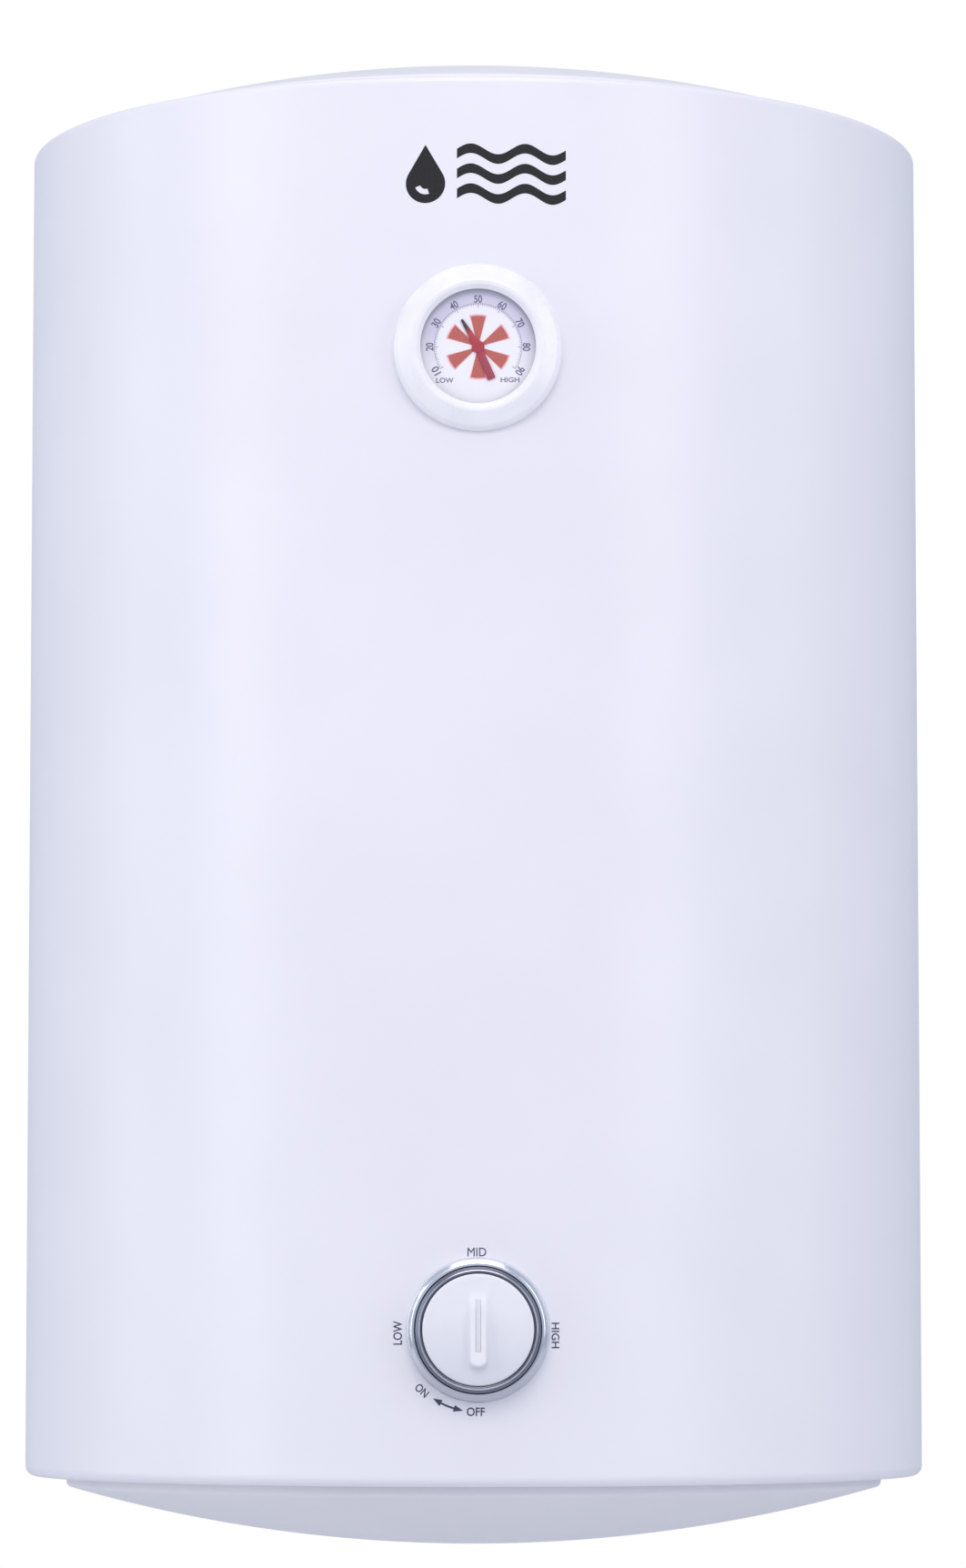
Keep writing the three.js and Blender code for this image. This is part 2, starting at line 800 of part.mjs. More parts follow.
// A shallow dish on the casing, around the knob
function knobBezel() {
  const back = -CASING.radius + 5;
  const { bush, bezelInner, bezelOuter, screwPlace } = KNOB;
  const dish = turnedOnY([
    [bush + 1.5, back],
    [bush + 1.5, BEZEL_FLOOR],
    [bezelInner, BEZEL_FLOOR],
    [bezelInner, BEZEL_FLOOR - 5],
    [bezelInner + 0.8, BEZEL_FLOOR - 5.5],
    [bezelOuter - 0.8, BEZEL_FLOOR - 3.6],
    [bezelOuter, BEZEL_FLOOR - 2.4],
    [bezelOuter, back],
  ], ROUND_SIDES);
  const screwHole = (x) => rod(2.3, [x, BEZEL_FLOOR - 2, 0], [x, back, 0]);
  const casing = casingBody(GAP, -2 * bezelOuter, 2 * bezelOuter);
  return cut(dish, casing, screwHole(-screwPlace), screwHole(screwPlace));
}

function knobTrimRing() {
  const { ringInner, ringOuter } = KNOB;
  const front = KNOB_FACE + 0.9;
  return turnedOnY([
    [ringInner, KNOB_BACK],
    [ringOuter, KNOB_BACK],
    [ringOuter, front + 1.5],
    [ringOuter - 0.8, front + 0.4],
    [ringInner + 0.6, front],
    [ringInner, front + 0.4],
  ], ROUND_SIDES);
}

// A hollow knob with a hub on the spindle and a finger ridge with a slot for the marker
function controlKnob() {
  const { radius, ridgeWidth, ridgeLength, markerWidth, markerLength, markerCentre } = KNOB;
  const cavityFront = KNOB_FACE + 4.5;
  const cap = turnedOnY([
    [0, cavityFront],
    [22, cavityFront],
    [22.6, KNOB_BACK],
    [radius, KNOB_BACK],
    [radius, KNOB_FACE + 1.6],
    [radius - 1.6, KNOB_FACE],
    [0, KNOB_FACE],
  ], ROUND_SIDES);
  const hub = rod(6, [0, KNOB_BACK + 1.5, 0], [0, KNOB_FACE + 1, 0], SMALL_SIDES);
  const half = ridgeWidth / 2;
  const ridge = prism([
    [-half, KNOB_FACE + 1],
    [half, KNOB_FACE + 1],
    [half - 0.4, RIDGE_TOP + 1],
    [half - 1.4, RIDGE_TOP],
    [1.4 - half, RIDGE_TOP],
    [0.4 - half, RIDGE_TOP + 1],
  ], -ridgeLength / 2, ridgeLength / 2);
  const bore = rod(KNOB.spindle + GAP, [0, KNOB_BACK + 3, 0], [0, SPINDLE_FRONT - 0.4, 0], SMALL_SIDES);
  const slot = block(
    [-markerWidth / 2 - GAP, markerWidth / 2 + GAP],
    [RIDGE_TOP - 1, RIDGE_TOP + 1.4],
    [markerCentre - markerLength / 2 - GAP, markerCentre + markerLength / 2 + GAP],
  );
  return cut(join(cap, hub, ridge), bore, slot);
}

function knobMarker() {
  const { markerWidth, markerLength, markerCentre } = KNOB;
  return block(
    [-markerWidth / 2, markerWidth / 2],
    [RIDGE_TOP + 0.3, RIDGE_TOP + 1.1],
    [markerCentre - markerLength / 2, markerCentre + markerLength / 2],
  );
}

function addThermostat(heater) {
  const station = new THREE.Group();
  station.position.set(0, 0, KNOB.height);
  heater.add(station);
  addPart(station, 'thermostat_body', thermostatBody(), blackPlastic);
  addPart(station, 'thermostat_spindle', thermostatSpindle(), zincSteel);
  addPart(station, 'thermostat_screw_left', thermostatScrew(), zincSteel, [-KNOB.screwPlace, 0, 0]);
  addPart(station, 'thermostat_screw_right', thermostatScrew(), zincSteel, [KNOB.screwPlace, 0, 0]);
  addPart(station, 'knob_bezel', knobBezel(), chrome);
  addPart(station, 'knob_trim_ring', knobTrimRing(), chrome);
  addPart(station, 'control_knob', controlKnob(), whitePlastic);
  addPart(station, 'knob_marker', knobMarker(), greyPlastic);
}

// ---------------------------------------------------------------- dial thermometer

const LENS_BACK = -CASING.radius - 3.5;
const LENS_FRONT = LENS_BACK - 1.2;
const DIAL_FACE = -CASING.radius - 1.2;
const DIAL_BACK = DIAL_FACE + 1;
const HOUSING_BACK = -CASING.radius + 20;

function gaugeBezel() {
  const back = -CASING.radius + 5;
  const crown = -CASING.radius - 9;
  const { window, bore, bezelOuter } = GAUGE;
  const ring = turnedOnY([
    [bore, back],
    [bore, LENS_FRONT - GAP],
    [window, LENS_FRONT - GAP],
    [window + 0.5, LENS_FRONT - 1.4],
    [window + 3.2, crown + 0.6],
    [window + 5.4, crown],
    [bezelOuter - 4.4, crown + 0.9],
    [bezelOuter - 1.2, crown + 3.4],
    [bezelOuter, crown + 6],
    [bezelOuter, back],
  ], ROUND_SIDES);
  return cut(ring, casingBody(GAP, -2 * bezelOuter, 2 * bezelOuter));
}

// A cup behind the bezel, with a step for the dial and a stem against the tank
function gaugeHousing() {
  const { housing, dial } = GAUGE;
  const tankFace = -TANK.radius - GAP;
  return turnedOnY([
    [0, tankFace],
    [6, tankFace],
    [6, HOUSING_BACK],
    [housing, HOUSING_BACK],
    [housing, LENS_BACK + GAP],
    [dial + GAP, LENS_BACK + GAP],
    [dial + GAP, DIAL_BACK + GAP],
    [dial - 1.1, DIAL_BACK + GAP],
    [dial - 1.1, HOUSING_BACK - 1.2],
    [0, HOUSING_BACK - 1.2],
  ], ROUND_SIDES);
}

function gaugeDial() {
  return turnedOnY([
    [1.4, DIAL_BACK],
    [GAUGE.dial, DIAL_BACK],
    [GAUGE.dial, DIAL_FACE],
    [1.4, DIAL_FACE],
  ], ROUND_SIDES);
}

function gaugeLens() {
  const radius = GAUGE.bore - 0.6;
  return turnedOnY([[0, LENS_BACK], [radius, LENS_BACK], [radius, LENS_FRONT], [0, LENS_FRONT]],
    ROUND_SIDES);
}

// A needle with a tapering tip, drawn upwards, and a broad tail that is set a little aside.
// It is fixed to its spindle.
function gaugePointer() {
  const face = DIAL_FACE - 1.5;
  const flat = (outline) => prism(outline, 0, 0.6).rotateX(Math.PI / 2).translate(0, face + 0.6, 0);
  const tip = flat([[-1.7, 0], [-1.7, 3], [-0.7, 15.1], [0.7, 15.1], [1.7, 3], [1.7, 0]]);
  const tail = flat([[-1.7, 0], [-2, -16.7], [2, -16.7], [1.7, 0]]).rotateY(rad(GAUGE.tailBend));
  const hub = rod(3, [0, face - 0.4, 0], [0, face + 0.5, 0], SMALL_SIDES);
  const spindle = rod(0.9, [0, face, 0], [0, HOUSING_BACK - 4, 0]);
  return join(tip, tail, hub, spindle);
}

// A flat strip wound into a spiral round the spindle
function bimetalCoil() {
  const turns = 4;
  const perTurn = 10;
  const inner = 3;
  const pitch = 2.7;
  const middle = Array.from({ length: turns * perTurn + 1 }, (_, i) => {
    const angle = 2 * Math.PI * i / perTurn;
    const radius = inner + pitch * i / perTurn;
    return [radius * Math.cos(angle), radius * Math.sin(angle)];
  });
  const strip = prism(stripOutline(middle, 0.8), 0, 5);
  return strip.rotateX(Math.PI / 2).translate(0, HOUSING_BACK - 7, 0);
}

function addGauge(heater) {
  const station = new THREE.Group();
  station.position.set(0, 0, GAUGE.height);
  heater.add(station);
  addPart(station, 'gauge_bezel', gaugeBezel(), whitePlastic);
  addPart(station, 'gauge_housing', gaugeHousing(), blackPlastic);
  addPart(station, 'gauge_dial', gaugeDial(), dialWhite);
  addPart(station, 'gauge_lens', gaugeLens(), clearPlastic);
  addPart(station, 'gauge_pointer', gaugePointer(), needleRed, [0, 0, 0],
    [0, GAUGE.needleAngle, 0]);
  addPart(station, 'bimetal_coil', bimetalCoil(), brass);
}

// ---------------------------------------------------------------- water pipes

// A threaded pipe end; the thread itself is left smooth
function nipple() {
  const { outer, bore, bottom, top } = PIPE;
  return turned([
    [bore, bottom],
    [outer - 0.8, bottom],
    [outer, bottom + 1],
    [outer, top],
    [bore, top],
  ], SMALL_SIDES);
}

// A collar round the pipe, whose rim is trimmed to the dome of the bottom cover
function pipeCollar(x) {
  const { inner, sleeve, rim, bottom, top } = COLLAR;
  const dome = domeLine(0, COVER.radius, -GAP, COVER.bottomRise, 10).map(([r, h]) => [r, -h]);
  const above = turned([...dome, [COVER.radius, 0], [0, 0]], CASING_SIDES).translate(-x, -PIPE.y, 0);
  const flange = turned([
    [inner, bottom],
    [rim - 1.5, bottom],
    [rim, bottom + 1.2],
    [rim, -10],
    [inner, -10],
  ], SMALL_SIDES);
  return join(cut(flange, above), tube(inner, sleeve, bottom + 1, top, SMALL_SIDES));
}

function dipTube() {
  return tube(PIPE.bore + 0.2, PIPE.bore + 2, PIPE.top + GAP, DIP_TUBE_TOP, TINY_SIDES);
}

// A capped sleeve with four windows, which spreads the cold water sideways
function inletDiffuser() {
  const inner = PIPE.outer + 0.4;
  const outer = inner + 1.8;
  const [bottom, top] = [PIPE.top - 9, PIPE.top + 24];
  const sleeve = turned([
    [inner, bottom],
    [outer, bottom],
    [outer, top],
    [0, top],
    [0, top - 2],
    [inner, top - 2],
  ], SMALL_SIDES);
  const window = block([-4, 4], [-THROUGH, THROUGH], [PIPE.top + 5, PIPE.top + 18]);
  return cut(sleeve, window, window.clone().rotateZ(Math.PI / 2));
}

function addPipes(heater) {
  const hot = new THREE.Group();
  hot.position.set(-PIPE.x, PIPE.y, 0);
  addPart(hot, 'hot_nipple', nipple(), zincSteel);
  addPart(hot, 'hot_dip_tube', dipTube(), zincSteel);
  addPart(hot, 'hot_collar', pipeCollar(-PIPE.x), redPlastic);
  const cold = new THREE.Group();
  cold.position.set(PIPE.x, PIPE.y, 0);
  addPart(cold, 'cold_nipple', nipple(), zincSteel);
  addPart(cold, 'cold_inlet_diffuser', inletDiffuser(), whitePlastic);
  addPart(cold, 'cold_collar', pipeCollar(PIPE.x), bluePlastic);
  heater.add(hot, cold);
}

// ---------------------------------------------------------------- hanging bracket

// A bent strip: a flat back on the wall, two legs, and two feet on the casing
function wallBracket() {
  const { wall, legX, footAngle, footLength, height, keyholeX } = BRACKET;
  const footDistance = CASING.radius + 0.4 + wall / 2;
  const [footX, footY] = aroundBack(footAngle, footDistance, 0);
  const reach = footLength / 2;
  const along = [reach * Math.cos(rad(footAngle)), -reach * Math.sin(rad(footAngle))];
  const bendY = footY + (footX - legX) * Math.tan(rad(footAngle));
  const right = [
    [footX + along[0], footY + along[1]],
    [legX, bendY],
    [legX, WALL_Y - wall / 2],
  ];
  const left = right.map(([x, y]) => [-x, y]).reverse();
  const strip = prism(stripOutline([...right, ...left], wall), -height / 2, height / 2);
  const keyhole = (x) => {
    const y = [WALL_Y - 2 * wall, WALL_Y + wall];
    return join(
      rod(9, [x, y[0], -8], [x, y[1], -8], SMALL_SIDES),
      block([x - 4.5, x + 4.5], y, [-8, 8]),
      rod(4.5, [x, y[0], 8], [x, y[1], 8], SMALL_SIDES),
    );
  };
  const boltHoles = bracketBoltPlaces().map(({ angle, z }) => rod(
    BRACKET.boltRadius + 0.6,
    aroundBack(angle, footDistance - 2 * wall, z),
    aroundBack(angle, footDistance + 2 * wall, z),
  ));
  return cut(strip, keyhole(-keyholeX), keyhole(keyholeX), ...boltHoles);
}

// A steel bar between the tank and the casing, which the bracket is bolted to.
// It is drawn pointing backwards and turned to its side.
function bracketBoss() {
  const half = BRACKET.bossWidth / 2;
  const near = TANK.radius + GAP;
  const far = CASING.radius - 2.4;
  const bar = block([-half, half], [near, far], [-BRACKET.height / 2, BRACKET.height / 2]);
  const hole = (z) => rod(BRACKET.boltRadius + 0.4, [0, near - 2, z], [0, far + 2, z]);
  return cut(bar, hole(BRACKET.boltZ), hole(-BRACKET.boltZ));
}

function bracketBolt() {
  const seat = CASING.radius + 0.4 + BRACKET.wall + GAP;
  return join(
    rod(7.5, [0, seat, 0], [0, seat + 5.3, 0], 6),
    rod(BRACKET.boltRadius, [0, seat - 24, 0], [0, seat + 1, 0]),
  );
}

function wallSpacer() {
  const half = SPACER.width / 2;
  const seam = CASING.seamWidth / 2 + GAP;
  const foot = block(
    [-half, half],
    [CASING.radius - 6, WALL_Y],
    [-SPACER.height / 2, SPACER.height / 2],
  );
  const channel = block(
    [-seam, seam],
    [CASING.radius - 7, CASING.radius + CASING.seamProud + GAP],
    [-SPACER.height, SPACER.height],
  );
  return cut(foot, casingBody(GAP, -2 * SPACER.height, 2 * SPACER.height), channel);
}

function addBracket(heater) {
  const station = new THREE.Group();
  station.position.set(0, 0, BRACKET_Z);
  heater.add(station);
  addPart(station, 'wall_bracket', wallBracket(), zincSteel);
  addPart(station, 'bracket_boss_left', bracketBoss(), zincSteel, [0, 0, 0],
    [0, 0, BRACKET.footAngle]);
  addPart(station, 'bracket_boss_right', bracketBoss(), zincSteel, [0, 0, 0],
    [0, 0, -BRACKET.footAngle]);
  bracketBoltPlaces().forEach(({ angle, z }, i) => {
    addPart(station, `bracket_bolt_${i + 1}`, bracketBolt(), zincSteel, [0, 0, z], [0, 0, -angle]);
  });
  addPart(heater, 'wall_spacer', wallSpacer(), blackRubber, [0, 0, SPACER.centre]);
}

// ---------------------------------------------------------------- insulation

// What the foam leaves free: the tank, the pockets of the controls and the pipes
function foamPockets() {
  const tank = headLine(TANK.radius + FOAM_GAP, TANK.headDepth + FOAM_GAP, 5);
  const tankRoom = turned([
    ...tank.map(([r, h]) => [r, TANK.top + h]),
    ...tank.map(([r, h]) => [r, TANK.bottom - h]).reverse(),
  ], TANK_SIDES);
  const outside = CASING.radius;
  const bossHalf = BRACKET.bossWidth / 2 + FOAM_GAP;
  const bossRoom = (angle) => block(
    [-bossHalf, bossHalf],
    [TANK.radius - 5, outside],
    [BRACKET_Z - BRACKET.height / 2 - FOAM_GAP, BRACKET_Z + BRACKET.height / 2 + FOAM_GAP],
  ).rotateZ(rad(angle));
  const pipeRoom = (x) => rod(COLLAR.sleeve + FOAM_GAP, [x, PIPE.y, -50], [x, PIPE.y, 80], SMALL_SIDES);
  const screwRoom = (x) => rod(SERVICE.screwRadius + 1, [x, 0, -50], [x, 0, SCREW_NECK + 10]);
  return [
    tankRoom,
    block([-24, 24], [-outside - 5, -60], [-40, 45]),
    block([-27, 27], [-outside - 5, -186], [-40, KNOB.height + 27]),
    rod(GAUGE.housing + 1, [0, -outside - 5, GAUGE.height], [0, -TANK.radius + 4, GAUGE.height],
      ROUND_SIDES),
    bossRoom(BRACKET.footAngle),
    bossRoom(-BRACKET.footAngle),
    pipeRoom(-PIPE.x),
    pipeRoom(PIPE.x),
    screwRoom(-SERVICE.screwPlace),
    screwRoom(SERVICE.screwPlace),
  ];
}

// The foam has fewer sides than the casing and covers, so it stays within their flats.
function insulationFoam() {
  const flats = Math.cos(Math.PI / CASING_SIDES);
  const outer = (CASING.radius - CASING.wall) * flats - GAP;
  const inside = (COVER.radius - COVER.wall) * flats - GAP;
  const flangeFace = CASING.bottomBend + FOAM_GAP;
  const under = COVER.wall + FOAM_GAP;
  const ledge = (SERVICE.opening + SERVICE.ledgeWall) / Math.cos(Math.PI / TANK_SIDES) + FOAM_GAP;
  const ledgeTop = SERVICE.ledgeSet + SERVICE.ledgeWall + FOAM_GAP;
  const well = FLANGE.radius + 6;
  const bottomLine = domeLine(ledge, inside, under, COVER.bottomRise, 3).map(([r, h]) => [r, -h]);
  const topLine = domeLine(inside, 0, under, COVER.topRise, 4)
    .map(([r, h]) => [r, CASING.height + h]);
  const ledgeZ = -domeHeight(ledge, COVER.bottomRise) + ledgeTop;
  const body = turned([
    [0, FLANGE.collarTop + 6],
    [well, FLANGE.collarTop + 6],
    [well, ledgeZ],
    [ledge, ledgeZ],
    ...bottomLine,
    [inside, flangeFace],
    [outer, flangeFace],
    [outer, CASING.height - flangeFace],
    [inside, CASING.height - flangeFace],
    ...topLine,
  ], TANK_SIDES);
  return cut(body, ...foamPockets());
}

// ---------------------------------------------------------------- the whole heater

const waterHeater = new THREE.Group();
const heater = new THREE.Group();
heater.position.set(0, -WALL_Y, -BRACKET_Z);
waterHeater.add(heater);

addCasing(heater);
addPart(heater, 'insulation_foam', insulationFoam(), foam);
addTank(heater);
addFlange(heater);
addWires(heater);
addThermostat(heater);
addGauge(heater);
addPipes(heater);
addBracket(heater);

export default waterHeater;
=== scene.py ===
import math

import bmesh
import bpy
from mathutils import Matrix, Vector


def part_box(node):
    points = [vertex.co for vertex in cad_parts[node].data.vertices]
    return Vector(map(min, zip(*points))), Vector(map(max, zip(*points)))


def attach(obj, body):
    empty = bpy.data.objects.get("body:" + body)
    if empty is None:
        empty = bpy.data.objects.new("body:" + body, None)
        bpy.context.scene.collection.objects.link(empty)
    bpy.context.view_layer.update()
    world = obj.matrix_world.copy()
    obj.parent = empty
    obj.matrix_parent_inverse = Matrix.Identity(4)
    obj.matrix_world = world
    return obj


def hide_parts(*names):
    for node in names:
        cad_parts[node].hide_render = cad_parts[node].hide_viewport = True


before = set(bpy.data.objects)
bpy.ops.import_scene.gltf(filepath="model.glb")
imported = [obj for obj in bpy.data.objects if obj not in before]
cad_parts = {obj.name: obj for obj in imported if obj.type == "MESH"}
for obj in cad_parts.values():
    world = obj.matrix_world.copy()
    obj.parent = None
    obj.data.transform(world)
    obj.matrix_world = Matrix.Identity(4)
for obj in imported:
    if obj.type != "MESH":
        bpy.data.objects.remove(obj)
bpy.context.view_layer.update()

# The looks of a wall-hung electric water heater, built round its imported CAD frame.
# Shapes are drawn in millimetres and become metres in add(). Local Z is a part's own axis:
# it points up, or towards the viewer for a part on the front of the casing.

MM = 0.001

# ------------------------------------------------------------------ camera

camera_data = bpy.data.cameras.new("camera")
camera_data.lens = 134.9
camera_data.sensor_width = 36
camera_data.clip_end = 100
camera = bpy.data.objects.new("camera", camera_data)
camera.location = (-0.026, -3.2265, -0.4356)
camera.rotation_euler = [math.radians(angle) for angle in (90 + 5.133, 0, -0.5905)]
bpy.context.scene.collection.objects.link(camera)
bpy.context.scene.camera = camera

# ------------------------------------------------------------------ sizes read from the frame


def box_mm(node):
    low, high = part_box(node)
    return low / MM, high / MM


def centre_mm(node):
    low, high = box_mm(node)
    return (low + high) / 2


casing_low, casing_high = box_mm("outer_casing")
RADIUS = (casing_high.x - casing_low.x) / 2
AXIS_Y = casing_low.y + RADIUS
BOTTOM = casing_low.z
HEIGHT = casing_high.z - casing_low.z
FRONT = casing_low.y
GAUGE_Z = centre_mm("gauge_bezel").z
KNOB_Z = centre_mm("knob_bezel").z

# The domed end covers. Their rises are measured outwards from the rim that each one closes.
COVER_RADIUS = 204.4
COVER_SHOULDER = 5
TOP_RISE = box_mm("top_cover")[1].z - casing_high.z - COVER_SHOULDER
BOTTOM_RISE = casing_low.z - box_mm("service_cover")[0].z - COVER_SHOULDER

# Numbers of sides of round parts
WIDE_SIDES = 256
ROUND_SIDES = 128
SMALL_SIDES = 64

# ------------------------------------------------------------------ outlines


def arc(centre, radius, start, end, steps):
    """Points on an arc, as (x, y) pairs. The angles are in degrees."""
    angles = [math.radians(start + (end - start) * i / steps) for i in range(steps + 1)]
    return [(centre[0] + radius * math.cos(a), centre[1] + radius * math.sin(a)) for a in angles]


def rounded(corners, steps=6):
    """A closed outline with rounded corners. A corner is (x, y) or (x, y, radius)."""
    outline = []
    for i, corner in enumerate(corners):
        point = Vector(corner[:2])
        if len(corner) == 2:
            outline.append(tuple(point))
            continue
        back = Vector(corners[i - 1][:2]) - point
        ahead = Vector(corners[(i + 1) % len(corners)][:2]) - point
        half = back.angle(ahead) / 2
        reach = min(corner[2] / math.tan(half), back.length * 0.48, ahead.length * 0.48)
        radius = reach * math.tan(half)
        middle = point + (back.normalized() + ahead.normalized()).normalized() * radius / math.sin(half)
        first = point + back.normalized() * reach - middle
        turn = (point + ahead.normalized() * reach - middle).angle_signed(first)
        for step in range(steps + 1):
            spoke = first.copy()
            spoke.rotate(Matrix.Rotation(turn * step / steps, 2))
            outline.append(tuple(middle + spoke))
    return outline


def dome(start, end, under, rise, steps):
    """Points across a domed cover, as (radius, outward height) pairs, a little under its outer face."""
    sphere = (COVER_RADIUS**2 + rise**2) / (2 * rise)
    distances = [start + (end - start) * i / steps for i in range(steps + 1)]
    top = COVER_SHOULDER + rise - sphere - under
    return [(d, top + math.sqrt(sphere**2 - d**2)) for d in distances]


def casing_depth(x):
    """How far the casing's face lies behind its front line, at a distance from the middle."""
    return RADIUS - math.sqrt(RADIUS**2 - x**2)


# ------------------------------------------------------------------ meshes


def mesh_of(shape, name="shape"):
    bmesh.ops.recalc_face_normals(shape, faces=shape.faces)
    mesh = bpy.data.meshes.new(name)
    shape.to_mesh(mesh)
    shape.free()
    return mesh


def lathe(outline, sides=ROUND_SIDES, shape=None, extra_angles=()):
    """A solid turned about Z from a closed outline of (radius, height) pairs.
    shape(angle, radius, height) may move a point; it returns the new radius and height."""
    body = bmesh.new()
    angles = sorted([2 * math.pi * i / sides for i in range(sides)] + list(extra_angles))
    rings = []
    for radius, height in outline:
        if radius < 1e-6:
            rings.append([body.verts.new((0, 0, height))])
            continue
        ring = []
        for angle in angles:
            r, h = shape(angle, radius, height) if shape else (radius, height)
            ring.append(body.verts.new((r * math.sin(angle), -r * math.cos(angle), h)))
        rings.append(ring)
    for ring, following in zip(rings, rings[1:] + rings[:1]):
        if len(ring) == len(following) == 1:
            continue
        for i in range(len(angles)):
            corners = [
                ring[i % len(ring)],
                ring[(i + 1) % len(angles) % len(ring)],
                following[(i + 1) % len(angles) % len(following)],
                following[i % len(following)],
            ]
            body.faces.new(list(dict.fromkeys(corners)))
    return mesh_of(body)


def slab(loops, low, high):
    """A solid between two heights, from closed loops of (x, y) pairs. A loop inside another is a hole."""
    curve = bpy.data.curves.new("slab", "CURVE")
    curve.dimensions = "2D"
    curve.fill_mode = "BOTH"
    curve.extrude = (high - low) / 2
    for loop in loops:
        line = curve.splines.new("POLY")
        line.points.add(len(loop) - 1)
        line.use_cyclic_u = True
        for point, (x, y) in zip(line.points, loop):
            point.co = (x, y, 0, 1)
    return moved(solid_of(curve), Matrix.Translation((0, 0, (low + high) / 2)))


def solid_of(curve):
    """The closed mesh of a filled curve or of text."""
    holder = bpy.data.objects.new("curve", curve)
    bpy.context.scene.collection.objects.link(holder)
    found = bpy.data.meshes.new_from_object(holder.evaluated_get(bpy.context.evaluated_depsgraph_get()))
    bpy.data.objects.remove(holder)
    body = bmesh.new()
    body.from_mesh(found)
    bmesh.ops.remove_doubles(body, verts=body.verts, dist=1e-4)
    return mesh_of(body)


def lettering(words, width, height, thickness, weight):
    """Flat lettering of that size, centred on the origin and standing on height 0."""
    curve = bpy.data.curves.new("words", "FONT")
    curve.body = words
    curve.size = 10
    curve.offset = weight * curve.size
    curve.extrude = 0.5
    curve.resolution_u = 5
    mesh = solid_of(curve)
    low = Vector([min(v.co[i] for v in mesh.vertices) for i in range(3)])
    high = Vector([max(v.co[i] for v in mesh.vertices) for i in range(3)])
    scale = Matrix.Diagonal((width / (high.x - low.x), height / (high.y - low.y), thickness, 1))
    middle = Matrix.Translation((-(low.x + high.x) / 2, -(low.y + high.y) / 2, 0.5))
    return moved(mesh, scale @ middle)


def moved(mesh, *matrices):
    for matrix in matrices:
        mesh.transform(matrix)
    return mesh


def turned(degrees, x=0, y=0, z=0):
    """A turn about Z and then a move."""
    return Matrix.Translation((x, y, z)) @ Matrix.Rotation(math.radians(degrees), 4, "Z")


def joined(*meshes):
    body = bmesh.new()
    for mesh in meshes:
        body.from_mesh(mesh)
    result = bpy.data.meshes.new("joined")
    body.to_mesh(result)
    body.free()
    return result


def modified(mesh, kind, **settings):
    """The mesh after one modifier."""
    holder = bpy.data.objects.new("work", mesh)
    bpy.context.scene.collection.objects.link(holder)
    modifier = holder.modifiers.new("step", kind)
    for name, value in settings.items():
        setattr(modifier, name, value)
    found = bpy.data.meshes.new_from_object(holder.evaluated_get(bpy.context.evaluated_depsgraph_get()))
    bpy.data.objects.remove(holder)
    return found


def combined(mesh, tool, operation):
    holder = bpy.data.objects.new("tool", tool)
    bpy.context.scene.collection.objects.link(holder)
    result = modified(mesh, "BOOLEAN", object=holder, operation=operation, solver="EXACT")
    bpy.data.objects.remove(holder)
    return result


def cut(mesh, *tools):
    return combined(mesh, joined(*tools), "DIFFERENCE")


def bevelled(mesh, width, segments=3, angle=40):
    return modified(
        mesh, "BEVEL", width=width, segments=segments, limit_method="ANGLE",
        angle_limit=math.radians(angle), harden_normals=False,
    )


def rod(radius, low, high, sides=SMALL_SIDES):
    return lathe([(0, low), (radius, low), (radius, high), (0, high)], sides)


def block(x, y, z):
    outline = [(x[0], y[0]), (x[1], y[0]), (x[1], y[1]), (x[0], y[1])]
    return slab([outline], z[0], z[1])


def on_front(x, z):
    """The place of a part on the casing's front line, with local Z towards the viewer."""
    return Matrix.Translation((x, FRONT, z)) @ Matrix.Rotation(math.radians(90), 4, "X")


def on_axis(z=0):
    """The place of a part on the heater's axis, with heights above the casing's bottom rim."""
    return Matrix.Translation((0, AXIS_Y, BOTTOM + z))


WRAP_STEP = 3


def seated(mesh, clearance=0.05):
    """Moves what lies behind the casing's face up to that face. Local Z points out of it."""
    for vertex in mesh.vertices:
        face = clearance - casing_depth(vertex.co.x)
        vertex.co.z = max(vertex.co.z, face)
    return mesh


def wrapped(mesh, x, z):
    """Flat work laid on the casing round a point of its front. The result is in the axis's place.
    It is sliced into narrow upright strips first, so that it follows the curve."""
    body = bmesh.new()
    body.from_mesh(mesh)
    low = min(vertex.co.x for vertex in body.verts)
    high = max(vertex.co.x for vertex in body.verts)
    for i in range(1, math.ceil((high - low) / WRAP_STEP)):
        everything = body.verts[:] + body.edges[:] + body.faces[:]
        slice_at = Vector((low + i * WRAP_STEP, 0, 0))
        bmesh.ops.bisect_plane(body, geom=everything, plane_co=slice_at, plane_no=(1, 0, 0))
    body.to_mesh(mesh)
    body.free()
    for vertex in mesh.vertices:
        angle = (x + vertex.co.x) / RADIUS
        radius = RADIUS + vertex.co.z
        vertex.co = (radius * math.sin(angle), -radius * math.cos(angle), z - BOTTOM + vertex.co.y)
    mesh.update()
    return mesh


# ------------------------------------------------------------------ materials


